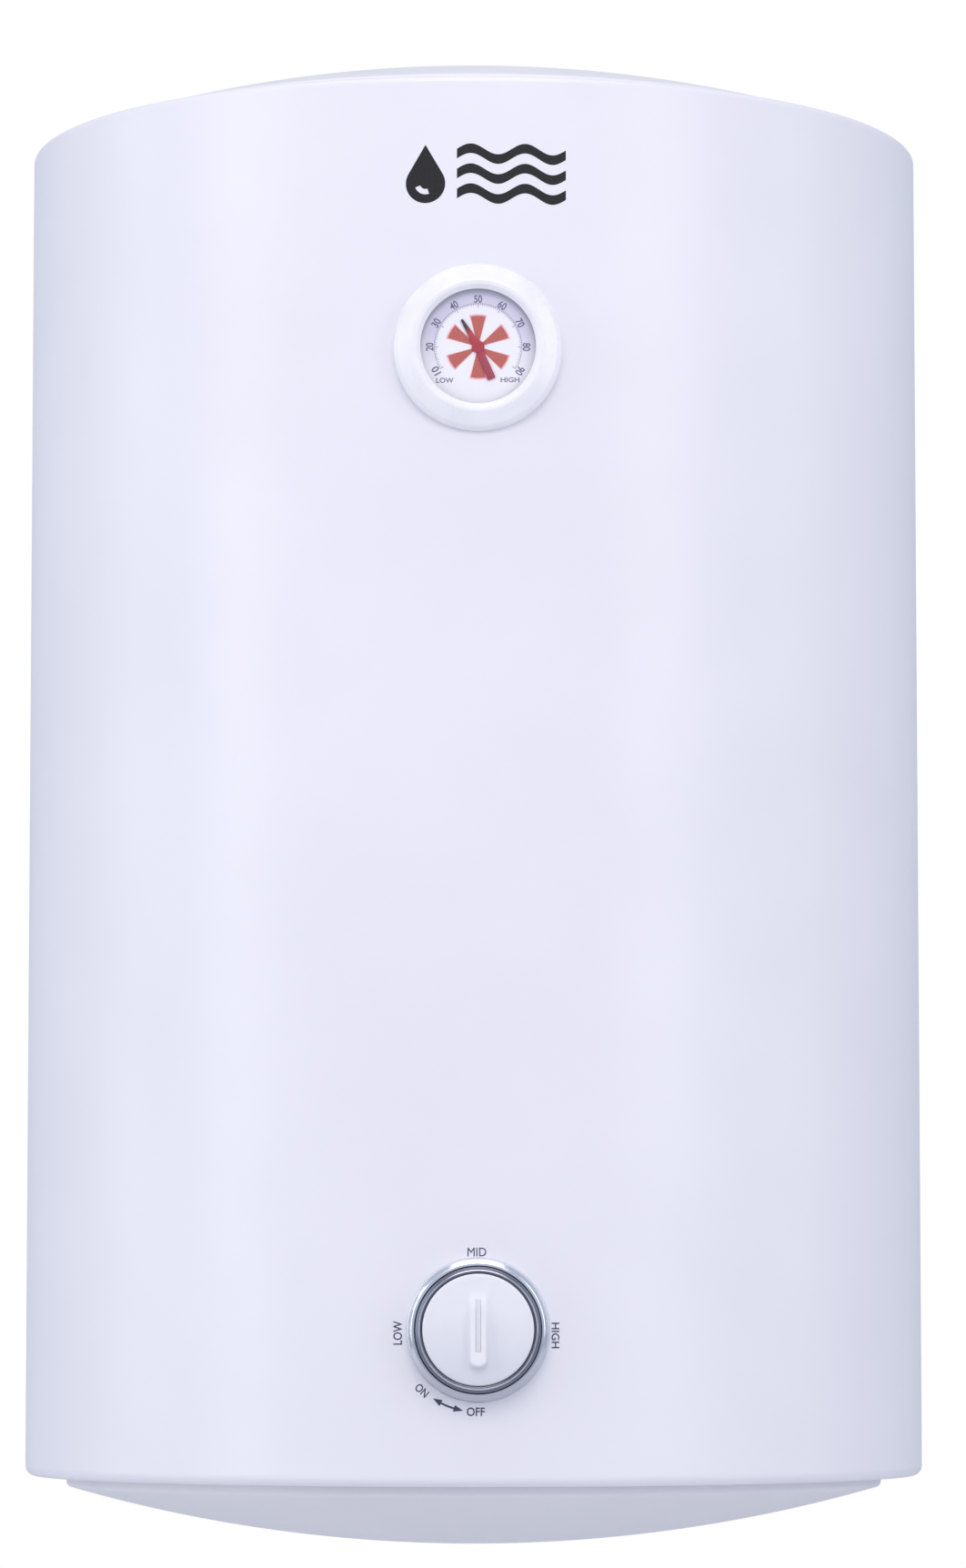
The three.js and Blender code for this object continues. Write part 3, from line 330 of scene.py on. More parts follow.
class Finish:
    """One procedural material: a Principled shader with a few patterns in object space."""

    def __init__(self, name, colour, roughness, **sockets):
        self.material = bpy.data.materials.new(name)
        self.material.use_nodes = True
        self.nodes = self.material.node_tree.nodes
        self.links = self.material.node_tree.links
        self.shader = self.nodes["Principled BSDF"]
        self.output = self.nodes["Material Output"]
        self.set("Base Color", (*colour, 1))
        self.set("Roughness", roughness)
        for socket, value in sockets.items():
            self.set(socket.replace("_", " "), value)
        self.place = self.nodes.new("ShaderNodeTexCoord").outputs["Object"]

    def set(self, socket, value):
        self.shader.inputs[socket].default_value = value

    def feed(self, socket, output):
        self.links.new(output, self.shader.inputs[socket])

    def node(self, kind, inputs=(), **settings):
        """A new node. An input's value is either a number, a colour or another node's output."""
        made = self.nodes.new("ShaderNode" + kind)
        for name, value in settings.items():
            setattr(made, name, value)
        for key, value in dict(inputs).items():
            if isinstance(value, bpy.types.NodeSocket):
                self.links.new(value, made.inputs[key])
            else:
                made.inputs[key].default_value = value
        return made

    def stretched(self, scale):
        """Object coordinates stretched along the axes."""
        return self.node("Mapping", {"Vector": self.place, "Scale": scale}).outputs["Vector"]

    def noise(self, size, detail=3, stretch=(1, 1, 1)):
        """Soft noise with features of that size in millimetres, as a number near 0.5."""
        inputs = {"Vector": self.stretched(stretch), "Scale": 1 / (size * MM), "Detail": detail}
        return self.node("TexNoise", inputs).outputs["Fac"]

    def cells(self, size):
        """The distance from the middles of random cells of that size in millimetres."""
        inputs = {"Vector": self.place, "Scale": 1 / (size * MM)}
        return self.node("TexVoronoi", inputs).outputs["Distance"]

    def maths(self, operation, first, second, clamp=False):
        """The result of one sum on two numbers, each a number or a node's output."""
        node = self.node("Math", {0: first, 1: second}, operation=operation, use_clamp=clamp)
        return node.outputs["Value"]

    def millimetres(self, coordinate):
        """A coordinate or a distance of the shader's, turned into millimetres."""
        return self.maths("MULTIPLY", coordinate, 1 / MM)

    def ranged(self, value, low, high, start=0.35, end=0.65):
        """A number spread over a range as value goes from start to end."""
        inputs = {"Value": value, "From Min": start, "From Max": end, "To Min": low, "To Max": high}
        return self.node("MapRange", inputs).outputs["Result"]

    def blend(self, amount, first, second):
        """A colour between two, which are colours or outputs."""
        node = self.node("Mix", data_type="RGBA")
        for socket, value in ((node.inputs[0], amount), (node.inputs[6], first), (node.inputs[7], second)):
            if isinstance(value, bpy.types.NodeSocket):
                self.links.new(value, socket)
            elif isinstance(value, tuple):
                socket.default_value = (*value, 1)
            else:
                socket.default_value = value
        return node.outputs[2]

    def mottled(self, first, second, size, detail=3, stretch=(1, 1, 1)):
        """Colour that wanders between two."""
        amount = self.ranged(self.noise(size, detail, stretch), 0, 1)
        self.feed("Base Color", self.blend(amount, first, second))

    def worn(self, low, high, size, stretch=(1, 1, 1)):
        """Roughness that wanders between two."""
        self.feed("Roughness", self.ranged(self.noise(size, 4, stretch), low, high))

    def bumped(self, height, depth, previous=None):
        """Relief of that depth in millimetres."""
        inputs = {"Height": height, "Distance": depth * MM, "Strength": 1}
        if previous is not None:
            inputs["Normal"] = previous
        normal = self.node("Bump", inputs).outputs["Normal"]
        self.feed("Normal", normal)
        return normal


def shade(colour, factor):
    return tuple(channel * factor for channel in colour)


def enamel(name, colour, roughness, coat=0.15):
    """Sprayed and stoved paint on sheet steel: faint orange peel over slow waves in the sheet."""
    finish = Finish(name, colour, roughness, Coat_Weight=coat, Coat_Roughness=0.28)
    finish.mottled(shade(colour, 0.985), shade(colour, 1.01), 90, 2)
    finish.worn(roughness - 0.03, roughness + 0.04, 60)
    waves = finish.bumped(finish.noise(160, 1, (1, 1, 0.35)), 0.12)
    finish.bumped(finish.noise(1.6, 2), 0.006, waves)
    return finish.material


def moulded(name, colour, roughness, grain=0.5, depth=0.006, **sockets):
    """Injection moulded plastic: a fine even grain and a slight change of gloss."""
    finish = Finish(name, colour, roughness, **sockets)
    finish.mottled(shade(colour, 0.97), shade(colour, 1.02), 14)
    finish.worn(roughness - 0.04, roughness + 0.05, 9)
    finish.bumped(finish.noise(grain, 3), depth)
    return finish.material


def knob_plastic_painted_shade():
    """The knob's white, with painted shade: its face darkens towards the lower edge, standing in for the
    shade of the light from above, and its ridge stays white.
    """
    top, shaded_bottom = (0.85, 0.86, 0.91), (0.67, 0.70, 0.76)
    finish = Finish("knob_plastic_painted_shade", top, 0.36)
    axes = finish.node("SeparateXYZ", {"Vector": finish.place}).outputs
    # Painted shade: the face's colour greys towards its lower edge, where the light from above falls off.
    # The raised ridge is left out of it.
    low = finish.ranged(axes["Y"], 1, 0, -24 * MM, 10 * MM)
    face = finish.ranged(axes["Z"], 1, 0, 15.6 * MM, 17.2 * MM)
    cloud = finish.ranged(finish.noise(14), -0.06, 0.06)
    amount = finish.maths("ADD", finish.maths("MULTIPLY", low, face), cloud, clamp=True)
    finish.feed("Base Color", finish.blend(amount, top, shaded_bottom))
    finish.worn(0.32, 0.41, 9)
    finish.bumped(finish.noise(0.5, 3), 0.006)
    return finish.material


def rubber(name, colour):
    """Matt rubber, paler where it has been handled."""
    finish = Finish(name, colour, 0.75, Specular_IOR_Level=0.35)
    finish.mottled(shade(colour, 0.8), shade(colour, 1.35), 5, 5)
    finish.worn(0.68, 0.86, 3)
    finish.bumped(finish.noise(0.35, 4), 0.03)
    return finish.material


def metal(name, colour, roughness, stretch=(1, 1, 0.08), grain=0.5, depth=0.008):
    """Metal with drawing lines along one axis and a mottled film on it."""
    finish = Finish(name, colour, roughness, Metallic=1)
    finish.mottled(shade(colour, 0.86), shade(colour, 1.08), 11, 4)
    finish.worn(max(roughness - 0.07, 0.04), roughness + 0.1, 4, stretch)
    finish.bumped(finish.noise(grain, 4, stretch), depth)
    return finish.material


def zinc_plate():
    """Electroplated zinc: small crystal facets, faint yellow bloom and fine handling scratches."""
    base = (0.60, 0.62, 0.64)
    finish = Finish("zinc_plate", base, 0.34, Metallic=1)
    bloom = finish.blend(finish.ranged(finish.noise(16, 3), 0, 1), base, (0.66, 0.64, 0.55))
    spangle = finish.ranged(finish.cells(1.4), 0, 0.35, 0.1, 0.9)
    finish.feed("Base Color", finish.blend(spangle, bloom, (0.44, 0.46, 0.49)))
    finish.worn(0.26, 0.46, 3)
    scratches = finish.bumped(finish.noise(0.25, 5, (1, 1, 0.05)), 0.006)
    finish.bumped(finish.cells(1.4), 0.008, scratches)
    return finish.material


def radial(finish):
    """The distance from the part's own Z axis and the height along its Y axis, in millimetres."""
    axes = finish.node("SeparateXYZ", {"Vector": finish.place}).outputs
    flat = finish.node("CombineXYZ", {"X": axes["X"], "Y": axes["Y"]}).outputs["Vector"]
    length = finish.node("VectorMath", {0: flat}, operation="LENGTH").outputs["Value"]
    return finish.millimetres(length), finish.millimetres(axes["Y"])


def chrome_with_painted_shade():
    """The knob surround's chrome, with painted shade: its colour darkens towards its lower side, standing
    in for dimmer reflections there, and it is dull at its outer rim.
    """
    finish = Finish("chrome_with_painted_shade", (0.8, 0.81, 0.86), 0.14, Metallic=1)
    distance, height = radial(finish)
    # Painted shade: the chrome's colour is darker towards its lower side, in place of darker reflections.
    painted_shade_mask = finish.ranged(height, 0, 1, -26, 10)
    finish.feed("Base Color", finish.blend(painted_shade_mask, (0.53, 0.55, 0.61), (0.84, 0.86, 0.91)))
    polish = finish.ranged(finish.noise(3, 4), 0.13, 0.2)
    dulled = finish.ranged(distance, 0, 0.4, 32.6, 33.5)
    finish.feed("Roughness", finish.maths("ADD", polish, dulled))
    finish.bumped(finish.noise(0.6, 3), 0.0012)
    return finish.material


def foamed():
    """Rigid polyurethane foam: open bubbles and darker, older skin."""
    finish = Finish("foamed", (0.76, 0.62, 0.24), 0.95)
    finish.mottled((0.68, 0.50, 0.16), (0.84, 0.72, 0.36), 22, 5)
    bubbles = finish.bumped(finish.cells(1.6), 0.5)
    finish.bumped(finish.cells(5), 0.7, bubbles)
    return finish.material


def glassed():
    """Blue vitreous enamel with small paler specks."""
    finish = Finish("glassed", (0.03, 0.07, 0.18), 0.2, Coat_Weight=0.5, Coat_Roughness=0.06)
    specks = finish.ranged(finish.cells(3.2), 1, 0, 0.1, 0.22)
    finish.feed("Base Color", finish.blend(specks, (0.03, 0.07, 0.18), (0.20, 0.30, 0.46)))
    finish.worn(0.16, 0.3, 20)
    finish.bumped(finish.noise(4, 3), 0.03)
    return finish.material


def dial_card():
    """White printed card with a lavender grey printed scale band. The band is greyest at the top and fades
    towards the bottom, as a painted shadow of the bezel's upper lip.
    """
    white, band_print_and_shade = (0.93, 0.93, 0.97), (0.70, 0.69, 0.82)
    finish = Finish("dial_card", white, 0.5)
    distance, height = radial(finish)
    inside = finish.ranged(distance, 0, 1, DIAL_BAND - 0.5, DIAL_BAND + 0.5)
    # Painted shadow: the band fades out towards the bottom, so its grey at the top stands in for the
    # bezel's shadow there.
    upper = finish.ranged(height, 0, 1, -12, 8)
    both = finish.maths("MULTIPLY", inside, upper)
    fibre = finish.blend(finish.ranged(finish.noise(0.7, 4), 0, 0.06), (1, 1, 1), (0.8, 0.8, 0.85))
    print_with_painted_shadow = finish.blend(both, white, band_print_and_shade)
    tint = finish.node("Mix", data_type="RGBA", blend_type="MULTIPLY")
    tint.inputs[0].default_value = 1
    finish.links.new(print_with_painted_shadow, tint.inputs[6])
    finish.links.new(fibre, tint.inputs[7])
    finish.feed("Base Color", tint.outputs[2])
    finish.worn(0.45, 0.6, 2)
    finish.bumped(finish.noise(0.3, 3), 0.004)
    return finish.material


def ink(name, colour, roughness=0.5):
    """Screen printed ink: slightly uneven cover over a fine tooth."""
    finish = Finish(name, colour, roughness)
    finish.mottled(shade(colour, 0.94), shade(colour, 1.07), 0.9, 4)
    finish.worn(roughness - 0.08, roughness + 0.08, 0.6)
    finish.bumped(finish.noise(0.2, 3), 0.004)
    return finish.material


def needle_paint():
    """Red paint that has darkened towards the needle's tip."""
    finish = Finish("needle_paint", (0.42, 0.05, 0.08), 0.35)
    _, height = radial(finish)
    body = finish.blend(finish.ranged(height, 0, 1, -8, 4), (0.38, 0.06, 0.09), (0.50, 0.04, 0.06))
    finish.feed("Base Color", finish.blend(finish.ranged(height, 0, 1, 7, 11), body, (0.05, 0.03, 0.06)))
    finish.worn(0.3, 0.42, 2)
    finish.bumped(finish.noise(0.4, 3), 0.004)
    return finish.material


def window_plastic():
    """Clear polystyrene: light passes straight through, with a soft reflection at a slant."""
    finish = Finish("window_plastic", (0.97, 0.98, 1.0), 0.06)
    finish.bumped(finish.noise(9, 2), 0.01)
    clear = finish.node("BsdfTransparent", {"Color": (0.995, 0.996, 1, 1)})
    gloss = finish.node("BsdfGlossy", {"Color": (1, 1, 1, 1), "Roughness": 0.08})
    finish.links.new(finish.shader.inputs["Normal"].links[0].from_socket, gloss.inputs["Normal"])
    front = finish.maths("SUBTRACT", 1, finish.node("NewGeometry").outputs["Backfacing"])
    fresnel = finish.node("Fresnel", {"IOR": 1.35}).outputs["Fac"]
    share = finish.maths("MULTIPLY", fresnel, front)
    both = finish.node("MixShader", {0: share, 1: clear.outputs[0], 2: gloss.outputs[0]})
    finish.nodes.remove(finish.shader)
    finish.links.new(both.outputs[0], finish.output.inputs["Surface"])
    return finish.material


def ringed_chrome():
    """The trim ring's chrome, darker and rougher in a band on each side of its light line."""
    finish = Finish("ringed_chrome", (0.7, 0.71, 0.76), 0.16, Metallic=1)
    distance, _ = radial(finish)
    cloud = finish.ranged(finish.noise(5, 3), 0, 1)
    polish = finish.blend(cloud, (0.54, 0.56, 0.63), (0.62, 0.64, 0.70))
    inner = finish.ranged(distance, 1, 0, RING_LINES[0] - LINE_BLUR, RING_LINES[0] + LINE_BLUR)
    outer = finish.ranged(distance, 0, 1, RING_LINES[1] - LINE_BLUR, RING_LINES[1] + LINE_BLUR)
    dark = finish.maths("ADD", inner, outer, clamp=True)
    finish.feed("Base Color", finish.blend(dark, polish, (0.19, 0.20, 0.26)))
    finish.feed("Roughness", finish.ranged(dark, 0.14, 0.38, 0, 1))
    finish.bumped(finish.noise(0.6, 3), 0.002)
    return finish.material


# The dial's scale band starts at this radius. The trim ring's light line lies between two more,
# and its edges fade over LINE_BLUR to each side.
DIAL_BAND = 20.2
RING_LINES = (27.15, 27.85)
LINE_BLUR = 0.12

CASING_WHITE = (0.83, 0.83, 0.89)
COVER_GREY = (0.80, 0.80, 0.84)

finishes = {
    "casing_white": enamel("casing_enamel", CASING_WHITE, 0.34),
    "cover_grey": enamel("cover_enamel", COVER_GREY, 0.42, 0.08),
    "knob_white": knob_plastic_painted_shade(),
    "bezel_white": moulded(
        "bezel_plastic", (0.875, 0.88, 0.925), 0.3, Coat_Weight=0.3, Coat_Roughness=0.12
    ),
    "chrome_trim": chrome_with_painted_shade(),
    "marker_grey": moulded("marker_plastic", (0.77, 0.77, 0.84), 0.5),
    "dial_print": dial_card(),
    "gauge_lens": window_plastic(),
    "needle_red": needle_paint(),
    "foam": foamed(),
    "tank_enamel": glassed(),
    "zinc_steel": zinc_plate(),
    "copper": metal("drawn_copper", (0.62, 0.28, 0.14), 0.32),
    "brass": metal("turned_brass", (0.62, 0.45, 0.16), 0.3, (0.2, 1, 1)),
    "anode_metal": metal("cast_magnesium", (0.46, 0.46, 0.44), 0.55, (1, 1, 1), 1.2, 0.05),
    "black_plastic": moulded("black_moulding", (0.022, 0.022, 0.025), 0.5, 0.6, 0.02),
    "white_plastic": moulded("white_moulding", (0.76, 0.76, 0.74), 0.45, 0.6, 0.02),
    "collar_red": moulded("red_moulding", (0.50, 0.035, 0.03), 0.42, 0.6, 0.015),
    "collar_blue": moulded("blue_moulding", (0.03, 0.11, 0.42), 0.42, 0.6, 0.015),
    "black_rubber": rubber("black_rubber", (0.022, 0.022, 0.023)),
    "gasket_rubber": rubber("gasket_rubber", (0.27, 0.06, 0.035)),
    "wire_brown": moulded("brown_sheath", (0.14, 0.06, 0.025), 0.5, 0.4, 0.01),
    "wire_blue": moulded("blue_sheath", (0.03, 0.12, 0.45), 0.5, 0.4, 0.01),
    "wire_black": moulded("black_sheath", (0.02, 0.02, 0.022), 0.5, 0.4, 0.01),
    "wire_green": moulded("green_sheath", (0.16, 0.33, 0.035), 0.5, 0.4, 0.01),
}

legend_ink = ink("legend_ink", (0.055, 0.06, 0.11))
mark_ink = ink("mark_ink", (0.002, 0.002, 0.004), 0.6)
dial_ink = ink("dial_ink", (0.16, 0.155, 0.26))
wedge_ink = ink("wedge_ink", (0.52, 0.125, 0.10))
wedge_rim_ink = ink("wedge_rim_ink", (0.90, 0.52, 0.55))

# ------------------------------------------------------------------ pieces


def add(name, mesh, place, body, slot, *nodes, material=None, sharp=32):
    """Puts a shape in its place as a piece of the object, and hides the CAD nodes that it stands for."""
    mesh.name = name
    mesh.transform(Matrix.Scale(MM, 4))
    mesh.materials.clear()
    mesh.materials.append(material or finishes[slot])
    mesh.shade_smooth()
    mesh.set_sharp_from_angle(angle=math.radians(sharp))
    piece = bpy.data.objects.new(name, mesh)
    bpy.context.scene.collection.objects.link(piece)
    place = place.copy()
    place.translation *= MM
    piece.matrix_world = place
    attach(piece, body)
    if nodes:
        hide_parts(*nodes)
    return piece


# ---------------- casing

CASING_WALL = 1.2
CASING_LIP = 206
BOTTOM_BEND = 5
TOP_BEND = 3
SEAM_HALF = 5
SEAM_PROUD = 0.9
SEAM_MARGIN = 10
SEAM_RAMP = 0.5
GAUGE_HOLE = 29.9
BUSH_HOLE = 8
BRACKET_Z = centre_mm("wall_bracket").z - BOTTOM
BRACKET_ANGLE = 29.9
BOLT_OFFSET = 18
BOLT_HOLE = 4.6
HOLE_REACH = 20
# The two screws that hold the thermostat from the front, beside its bush
SCREW_X = 15
SCREW_HOLE = 2.3


def bolt_holes(reach, place):
    """The tools for the bracket's four bolts, through the back of a wall round the place's Z axis."""
    tools = []
    for angle in (-BRACKET_ANGLE, BRACKET_ANGLE):
        turn = place @ Matrix.Rotation(math.radians(-angle), 4, "Z")
        for dz in (-BOLT_OFFSET, BOLT_OFFSET):
            outwards = Matrix.Translation((0, RADIUS, dz)) @ Matrix.Rotation(-math.pi / 2, 4, "X")
            tools.append(moved(rod(BOLT_HOLE, -reach, reach), turn @ outwards))
    return tools


def casing_seam(angle, radius, height):
    """The lock seam down the back stands a little proud of the outer wall."""
    if radius < RADIUS - 0.01:
        return radius, height
    across = abs(angle - math.pi) * RADIUS
    along = min(height - SEAM_MARGIN, HEIGHT - SEAM_MARGIN - height)
    share = min(SEAM_HALF - across, along + SEAM_RAMP) / SEAM_RAMP
    return radius + SEAM_PROUD * min(max(share, 0), 1), height


def casing_shell():
    bottom_centre = (RADIUS - BOTTOM_BEND, BOTTOM_BEND)
    top_centre = (RADIUS - TOP_BEND, HEIGHT - TOP_BEND)
    rows = [SEAM_MARGIN - SEAM_RAMP, SEAM_MARGIN]
    rows += [25 * i for i in range(1, 26)]
    rows += [HEIGHT - SEAM_MARGIN, HEIGHT - SEAM_MARGIN + SEAM_RAMP]
    outline = [(CASING_LIP, CASING_WALL / 2)]
    outline += [(CASING_LIP + 0.5, 0)]
    outline += arc(bottom_centre, BOTTOM_BEND, -90, 0, 10)
    outline += [(RADIUS, row) for row in rows]
    outline += arc(top_centre, TOP_BEND, 0, 90, 8)
    outline += [(CASING_LIP + 0.5, HEIGHT), (CASING_LIP, HEIGHT - CASING_WALL / 2)]
    outline += [(CASING_LIP + 0.5, HEIGHT - CASING_WALL)]
    outline += arc(top_centre, TOP_BEND - CASING_WALL, 90, 0, 4)
    outline += arc(bottom_centre, BOTTOM_BEND - CASING_WALL, 0, -90, 6)
    outline += [(CASING_LIP + 0.5, CASING_WALL)]
    edges = [SEAM_HALF - SEAM_RAMP, SEAM_HALF]
    seam_angles = [math.pi + side * edge / RADIUS for side in (-1, 1) for edge in edges]
    shell = lathe(outline, WIDE_SIDES, casing_seam, seam_angles)

    def front_hole(radius, x, z):
        place = Matrix.Translation((x, -RADIUS, z)) @ Matrix.Rotation(math.pi / 2, 4, "X")
        return moved(rod(radius, -HOLE_REACH, HOLE_REACH), place)

    holes = [front_hole(GAUGE_HOLE, 0, GAUGE_Z - BOTTOM), front_hole(BUSH_HOLE, 0, KNOB_Z - BOTTOM)]
    holes += [front_hole(SCREW_HOLE, x, KNOB_Z - BOTTOM) for x in (-SCREW_X, SCREW_X)]
    holes += bolt_holes(HOLE_REACH, Matrix.Translation((0, 0, BRACKET_Z)))
    return cut(shell, *holes)


def with_round_normals(piece):
    """Gives the straight part of the casing's wall the normals of a true cylinder, so that
    the holes cut in it leave no marks in the reflections."""
    mesh = piece.data
    wall = RADIUS * MM
    normals = [Vector((0, 0, 0))] * len(mesh.loops)
    for face in mesh.polygons:
        outward = Vector((face.center.x, face.center.y, 0))
        if abs(outward.length - wall) > 0.03 * MM or face.normal.dot(outward.normalized()) < 0.99:
            continue
        for corner in face.loop_indices:
            place = mesh.vertices[mesh.loops[corner].vertex_index].co
            normals[corner] = Vector((place.x, place.y, 0)).normalized()
    mesh.normals_split_custom_set(normals)


casing = add("casing", casing_shell(), on_axis(), "heater", "casing_white", "outer_casing", sharp=25)
with_round_normals(casing)

# ---------------- end covers

COVER_WALL = 2.5
FLANGE_FACE = -CASING_WALL - 0.3
FLANGE_BACK = FLANGE_FACE - 2.2
FLANGE_RADIUS = 218
SHOULDER_ROUND = 2.5
SERVICE_OPENING = 78
SERVICE_LEDGE = 62
LEDGE_SET = 2.9
LEDGE_WALL = 2.2
LID_RADIUS = 77.5
LID_WALL = 2.4
SCREW_PLACE = 70


def cover_flange():
    return [
        (COVER_RADIUS - COVER_WALL, FLANGE_BACK),
        (FLANGE_RADIUS, FLANGE_BACK),
        (FLANGE_RADIUS, FLANGE_FACE),
        (COVER_RADIUS, FLANGE_FACE),
    ]


def cover_shoulder(rise):
    """The rounded turn from the cover's upright edge into its dome."""
    edge = dome(COVER_RADIUS, COVER_RADIUS - 8, 0, rise, 1)
    corners = [(COVER_RADIUS, FLANGE_FACE), (*edge[0], SHOULDER_ROUND), edge[1]]
    return rounded(corners, 6)[1:-1]


top_outline = cover_flange() + cover_shoulder(TOP_RISE)
top_outline += dome(COVER_RADIUS - 8, 0, 0, TOP_RISE, 28)
top_outline += dome(0, COVER_RADIUS - COVER_WALL, COVER_WALL, TOP_RISE, 16)
add("top_dome", lathe(top_outline, WIDE_SIDES), on_axis(HEIGHT), "heater", "cover_grey", "top_cover")


def downwards(outline):
    return [(radius, -height) for radius, height in outline]


def screw_pocket(x):
    """A countersunk hole for a service screw, round the head's own place."""
    head = box_mm("service_cover_screw_1")[0].z - BOTTOM
    outline = [(0, -20), (6, -20), (4.3, head), (1.95, head + 2.2), (1.95, head + 20), (0, head + 20)]
    return moved(lathe(outline, SMALL_SIDES), Matrix.Translation((x, 0, 0)))


def pipe_hole(node):
    centre = centre_mm(node)
    return moved(rod(13.5, -60, 10), Matrix.Translation((centre.x, centre.y - AXIS_Y, 0)))


bottom_outline = cover_flange() + cover_shoulder(BOTTOM_RISE)
bottom_outline += dome(COVER_RADIUS - 8, SERVICE_OPENING + 0.6, 0, BOTTOM_RISE, 18)
bottom_outline += dome(SERVICE_OPENING, SERVICE_OPENING, 0.7, BOTTOM_RISE, 1)[:1]
bottom_outline += dome(SERVICE_OPENING, SERVICE_LEDGE, LEDGE_SET, BOTTOM_RISE, 3)
bottom_outline += dome(SERVICE_LEDGE, SERVICE_OPENING + LEDGE_WALL, LEDGE_SET + LEDGE_WALL, BOTTOM_RISE, 3)
bottom_outline += dome(SERVICE_OPENING + LEDGE_WALL, COVER_RADIUS - COVER_WALL, COVER_WALL, BOTTOM_RISE, 10)
bottom_shell = cut(
    lathe(downwards(bottom_outline), WIDE_SIDES),
    pipe_hole("hot_nipple"), pipe_hole("cold_nipple"),
    screw_pocket(-SCREW_PLACE), screw_pocket(SCREW_PLACE),
)
add("bottom_dome", bottom_shell, on_axis(), "heater", "cover_grey", "bottom_cover")

lid_outline = dome(LID_RADIUS - 0.6, 0, 0, BOTTOM_RISE, 14)
lid_outline += dome(0, LID_RADIUS, LID_WALL, BOTTOM_RISE, 8)
lid_outline += dome(LID_RADIUS, LID_RADIUS, 0.7, BOTTOM_RISE, 1)[:1]
grommet = centre_mm("cable_grommet")
lid_shell = cut(
    lathe(downwards(lid_outline), ROUND_SIDES),
    moved(rod(8, -60, 10), Matrix.Translation((0, grommet.y - AXIS_Y, 0))),
    screw_pocket(-SCREW_PLACE), screw_pocket(SCREW_PLACE),
)
add("service_lid", lid_shell, on_axis(), "heater", "cover_grey", "service_cover")


def service_screw():
    """A countersunk screw with a raised head and a cross recess. Its head points down."""
    head = lathe(
        [(0, -2.0), (1.6, -1.95), (3.0, -1.75), (3.75, -1.5), (3.75, -1.3), (1.6, 0.5), (1.6, 8), (0, 8.6)],
        SMALL_SIDES,
    )
    bars = [block((-2.3, 2.3), (-0.45, 0.45), (-3, -0.9)), block((-0.45, 0.45), (-2.3, 2.3), (-3, -0.9))]
    return cut(cut(head, bars[0]), bars[1])


for number in (1, 2):
    node = f"service_cover_screw_{number}"
    low = box_mm(node)[0]
    place = Matrix.Translation((centre_mm(node).x, centre_mm(node).y, low.z + 2))
    add(f"lid_screw_{number}", service_screw(), place, "heater", "zinc_steel", node)

# A rubber grommet with a stepped, ribbed mouth
grommet_low, grommet_high = box_mm("cable_grommet")
grommet_length = grommet_high.z - grommet_low.z
grommet_outline = rounded(
    [
        (4.2, 0, 0.5), (7.6, 0, 0.8), (8.2, 0.9, 0.3), (10.6, 1.0, 0.8), (11, 2.2, 0.5), (11, 2.5, 0.2),
        (7.7, 2.5), (7.7, grommet_length - 2.1), (10, grommet_length - 2, 0.4),
        (9, grommet_length, 0.5), (4.2, grommet_length, 0.4),
        (4.2, 5), (4.7, 4.5), (4.2, 4.0), (4.2, 3.4), (4.7, 2.9), (4.2, 2.4),
    ],
    4,
)
grommet_place = Matrix.Translation((grommet.x, grommet.y, grommet_low.z))
grommet_shape = lathe(grommet_outline, SMALL_SIDES)
add("grommet", grommet_shape, grommet_place, "heater", "black_rubber", "cable_grommet")

# ---------------- pipes

PIPE_CREST = 10.4
PIPE_BORE = 7
THREAD_PITCH = 1.814
THREAD_DEPTH = 1.0
THREAD_LENGTH = 19
THREAD_ROWS = 10


def threaded_pipe(length):
    """A pipe end with a pipe thread, its mouth at height 0 and the thread's end inside the collar."""

    def thread(angle, radius, height):
        if radius < PIPE_CREST - 0.01 or height > THREAD_LENGTH:
            return radius, height
        turn = (height / THREAD_PITCH + angle / (2 * math.pi)) % 1
        groove = min(1, max(0, 1.25 - 2.5 * abs(turn - 0.5) * 1.1))
        fade = min(1, max(0, (THREAD_LENGTH - height) / 3))
        mouth = PIPE_CREST - 1.1 + height * 0.8
        return min(radius - THREAD_DEPTH * groove * fade, max(mouth, PIPE_BORE + 1.2)), height

    step = THREAD_PITCH / THREAD_ROWS
    rows = [step * i for i in range(int(THREAD_LENGTH / step) + 2)]
    outline = [(PIPE_BORE, 0.5), (PIPE_BORE + 0.5, 0)]
    outline += [(PIPE_CREST, row) for row in rows]
    outline += [(PIPE_CREST, length), (PIPE_BORE, length)]
    return lathe(outline, 48, thread)


def pipe_collar(x, y, length):
    """A plastic collar with a ribbed rim that fits the dome, and a sleeve up the pipe."""
    inner, sleeve, rim = 10.7, 13.2, 17
    sphere = (COVER_RADIUS**2 + BOTTOM_RISE**2) / (2 * BOTTOM_RISE)

    def shape(angle, radius, height):
        if radius > sleeve + 0.1 and height > 3:
            distance = math.hypot(x + radius * math.sin(angle), y - radius * math.cos(angle))
            outward = COVER_SHOULDER + BOTTOM_RISE - sphere + math.sqrt(sphere**2 - distance**2)
            return radius, COLLAR_DROP - outward - 0.3
        if radius > rim - 0.2:
            return radius - 0.35 * (0.5 + 0.5 * math.cos(24 * angle)) ** 2, height
        return radius, height

    outline = [
        (inner, 0.6), (inner + 0.6, 0), (rim - 1.8, 0), (rim - 0.5, 0.35), (rim, 1.2), (rim, 2.8), (rim, 9),
        (sleeve + 0.2, 9), (sleeve, 9.2), (sleeve, length), (inner, length),
    ]
    return lathe(outline, 96, shape)


